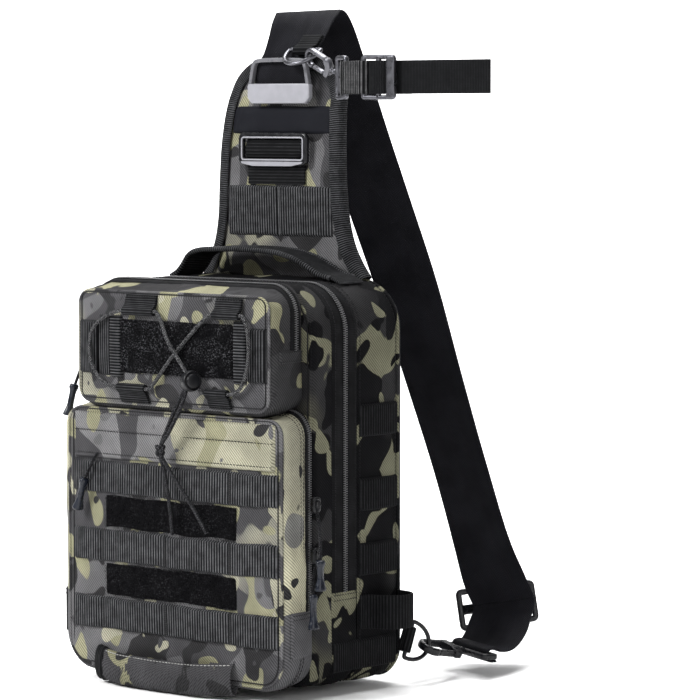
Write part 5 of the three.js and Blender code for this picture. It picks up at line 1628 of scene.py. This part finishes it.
# Slider, route of the cord, from and to of the grip
ZIP_PULLS = {
    "zip_pull_1": (
        (115.4, -108, 142), [(116.6, -108, 139), (122, -110.8, 122), (124.4, -113, 100)],
        (124.4, -113, 102), (124.4, -113, 79),
    ),
    "zip_pull_2": (
        (115.4, -108, 104), [(116.6, -108.5, 101), (116.9, -112.5, 88), (118.6, -115, 73)],
        (118.6, -115, 76), (120, -115.5, 50),
    ),
    "zip_pull_3": (
        None, [(-78, -141.3, 171.5), (-82, -142.8, 164), (-89, -144.6, 150)],
        (-88.6, -144.5, 151.5), (-96.5, -144.4, 127),
    ),
    "zip_pull_4": (
        (-102.6, -108, 266), [(-104, -109, 263), (-112, -118, 244), (-119, -125, 219)],
        (-118.6, -124.6, 222), (-122.5, -128, 197),
    ),
}
# A grip's profile: radius, distance from its start, and then from its end
GRIP_START = [(0.6, 0), (3.2, 0.2), (4.1, 1.4), (4.2, 3), (3.2, 6), (2.9, 8)]
GRIP_END = [(2.9, 10), (3.1, 8), (3.8, 5), (4.9, 1.6), (4.9, 0.6), (4.3, 0), (0.6, 0)]
# The bridge over a slider: distance outwards, up
BRIDGE = ((1.4, 4.4), (3.6, 2.4), (3.8, -2), (1.4, -4.6))
STRAND = 0.75
for node, (slider, route, start, end) in ZIP_PULLS.items():
    way = np.subtract(end, start)
    length = float(np.linalg.norm(way))
    profile = GRIP_START + [(radius, length - before) for radius, before in GRIP_END]
    lathe(node + "_grip", profile, start, way, GRIP, squash=0.8, flat_way=FRONT, node=node)
    for side, shift in (("near", -STRAND), ("far", STRAND)):
        strand = [(x, y + shift, z) for x, y, z in route]
        tube(f"{node}_strand_{side}", strand, STRAND, TAIL_BRAID, 0.9, sides=8)
    if slider:
        sign = np.sign(slider[0])
        plate(node + "_slider", slider, UP, BEHIND, rounded(6, 4, 2.4), 4, 0.6, PLASTIC)
        bridge = [np.array(slider) + (sign * x, 0, z) for x, z in BRIDGE]
        tube(node + "_bridge", bridge, 0.9, PLASTIC, 0.8, sides=8)


# Teeth and stitches

spindles("zipper_teeth", *zip_teeth, 0.44, COIL, sides=5)
spindles("stitching", *dark_thread, 0.34, THREAD)
spindles("pale_stitching", *pale_thread, 0.34, THREAD_PALE)


# Floor and backdrop, in metres, and light

FLOOR_Z = -0.5195
FLOOR_FRONT, FLOOR_HALF = -6.0, 7.0
BACKDROP_TOP = 6.0
SWEEP_BACK, SWEEP_RADIUS = 2.2, 1.5
# Distance behind the part, height
floor_line = [(FLOOR_FRONT, FLOOR_Z), (SWEEP_BACK, FLOOR_Z)]
for a in np.linspace(0.1, math.pi / 2, 12):
    floor_line.append((SWEEP_BACK + SWEEP_RADIUS * math.sin(a), FLOOR_Z + SWEEP_RADIUS * (1 - math.cos(a))))
floor_line.append((SWEEP_BACK + SWEEP_RADIUS, BACKDROP_TOP))
turn = math.radians(CAMERA_AZIMUTH)
points = []
for back, height in floor_line:
    for across in (-FLOOR_HALF, FLOOR_HALF):
        x = across * math.cos(turn) - back * math.sin(turn)
        y = across * math.sin(turn) + back * math.cos(turn)
        points.append((x, y, height))
mesh = bpy.data.meshes.new("floor")
mesh.from_pydata(points, [], [(2 * n, 2 * n + 1, 2 * n + 3, 2 * n + 2) for n in range(len(floor_line) - 1)])
mesh.polygons.foreach_set("use_smooth", [True] * len(mesh.polygons))
floor = bpy.data.objects.new("floor", mesh)
bpy.context.scene.collection.objects.link(floor)
paper = Shader("floor_paper", None, roughness=0.9, specular=0.1)
patchy = paper.noise(paper.place(), 400, 2.0)
mesh.materials.append(paper.paint(paper.mix(patchy, (0.86, 0.86, 0.86), (0.9, 0.9, 0.9))))

world = bpy.data.worlds.new("studio")
world.use_nodes = True
world.node_tree.nodes["Background"].inputs["Color"].default_value = (1, 1, 1, 1)
world.node_tree.nodes["Background"].inputs["Strength"].default_value = 0.22
bpy.context.scene.world = world
bpy.context.scene.view_settings.view_transform = "Standard"
# Soft lights: name, place in mm, what it faces, size, power
LIGHTS = [
    ("key", (-700, -1900, 1500), (0, -60, 200), 1.0, 84),
    ("fill", (1900, -1300, 700), (60, -60, 220), 1.6, 15),
    ("top", (300, -300, 2300), (0, -40, 250), 1.4, 26),
    ("backdrop", (-600, 900, 2600), (-1500, 2600, 300), 2.0, 210),
]
for name, place, target, size, power in LIGHTS:
    light = bpy.data.lights.new(name, "AREA")
    light.shape = "DISK"
    light.size = size
    light.energy = power
    lamp = bpy.data.objects.new(name, light)
    bpy.context.scene.collection.objects.link(lamp)
    lamp.location = to_part(place)
    way = np.subtract(target, place)
    flat = math.hypot(way[0], way[1])
    lamp.rotation_euler = (math.atan2(flat, -way[2]), 0, math.atan2(way[1], way[0]) - math.pi / 2)
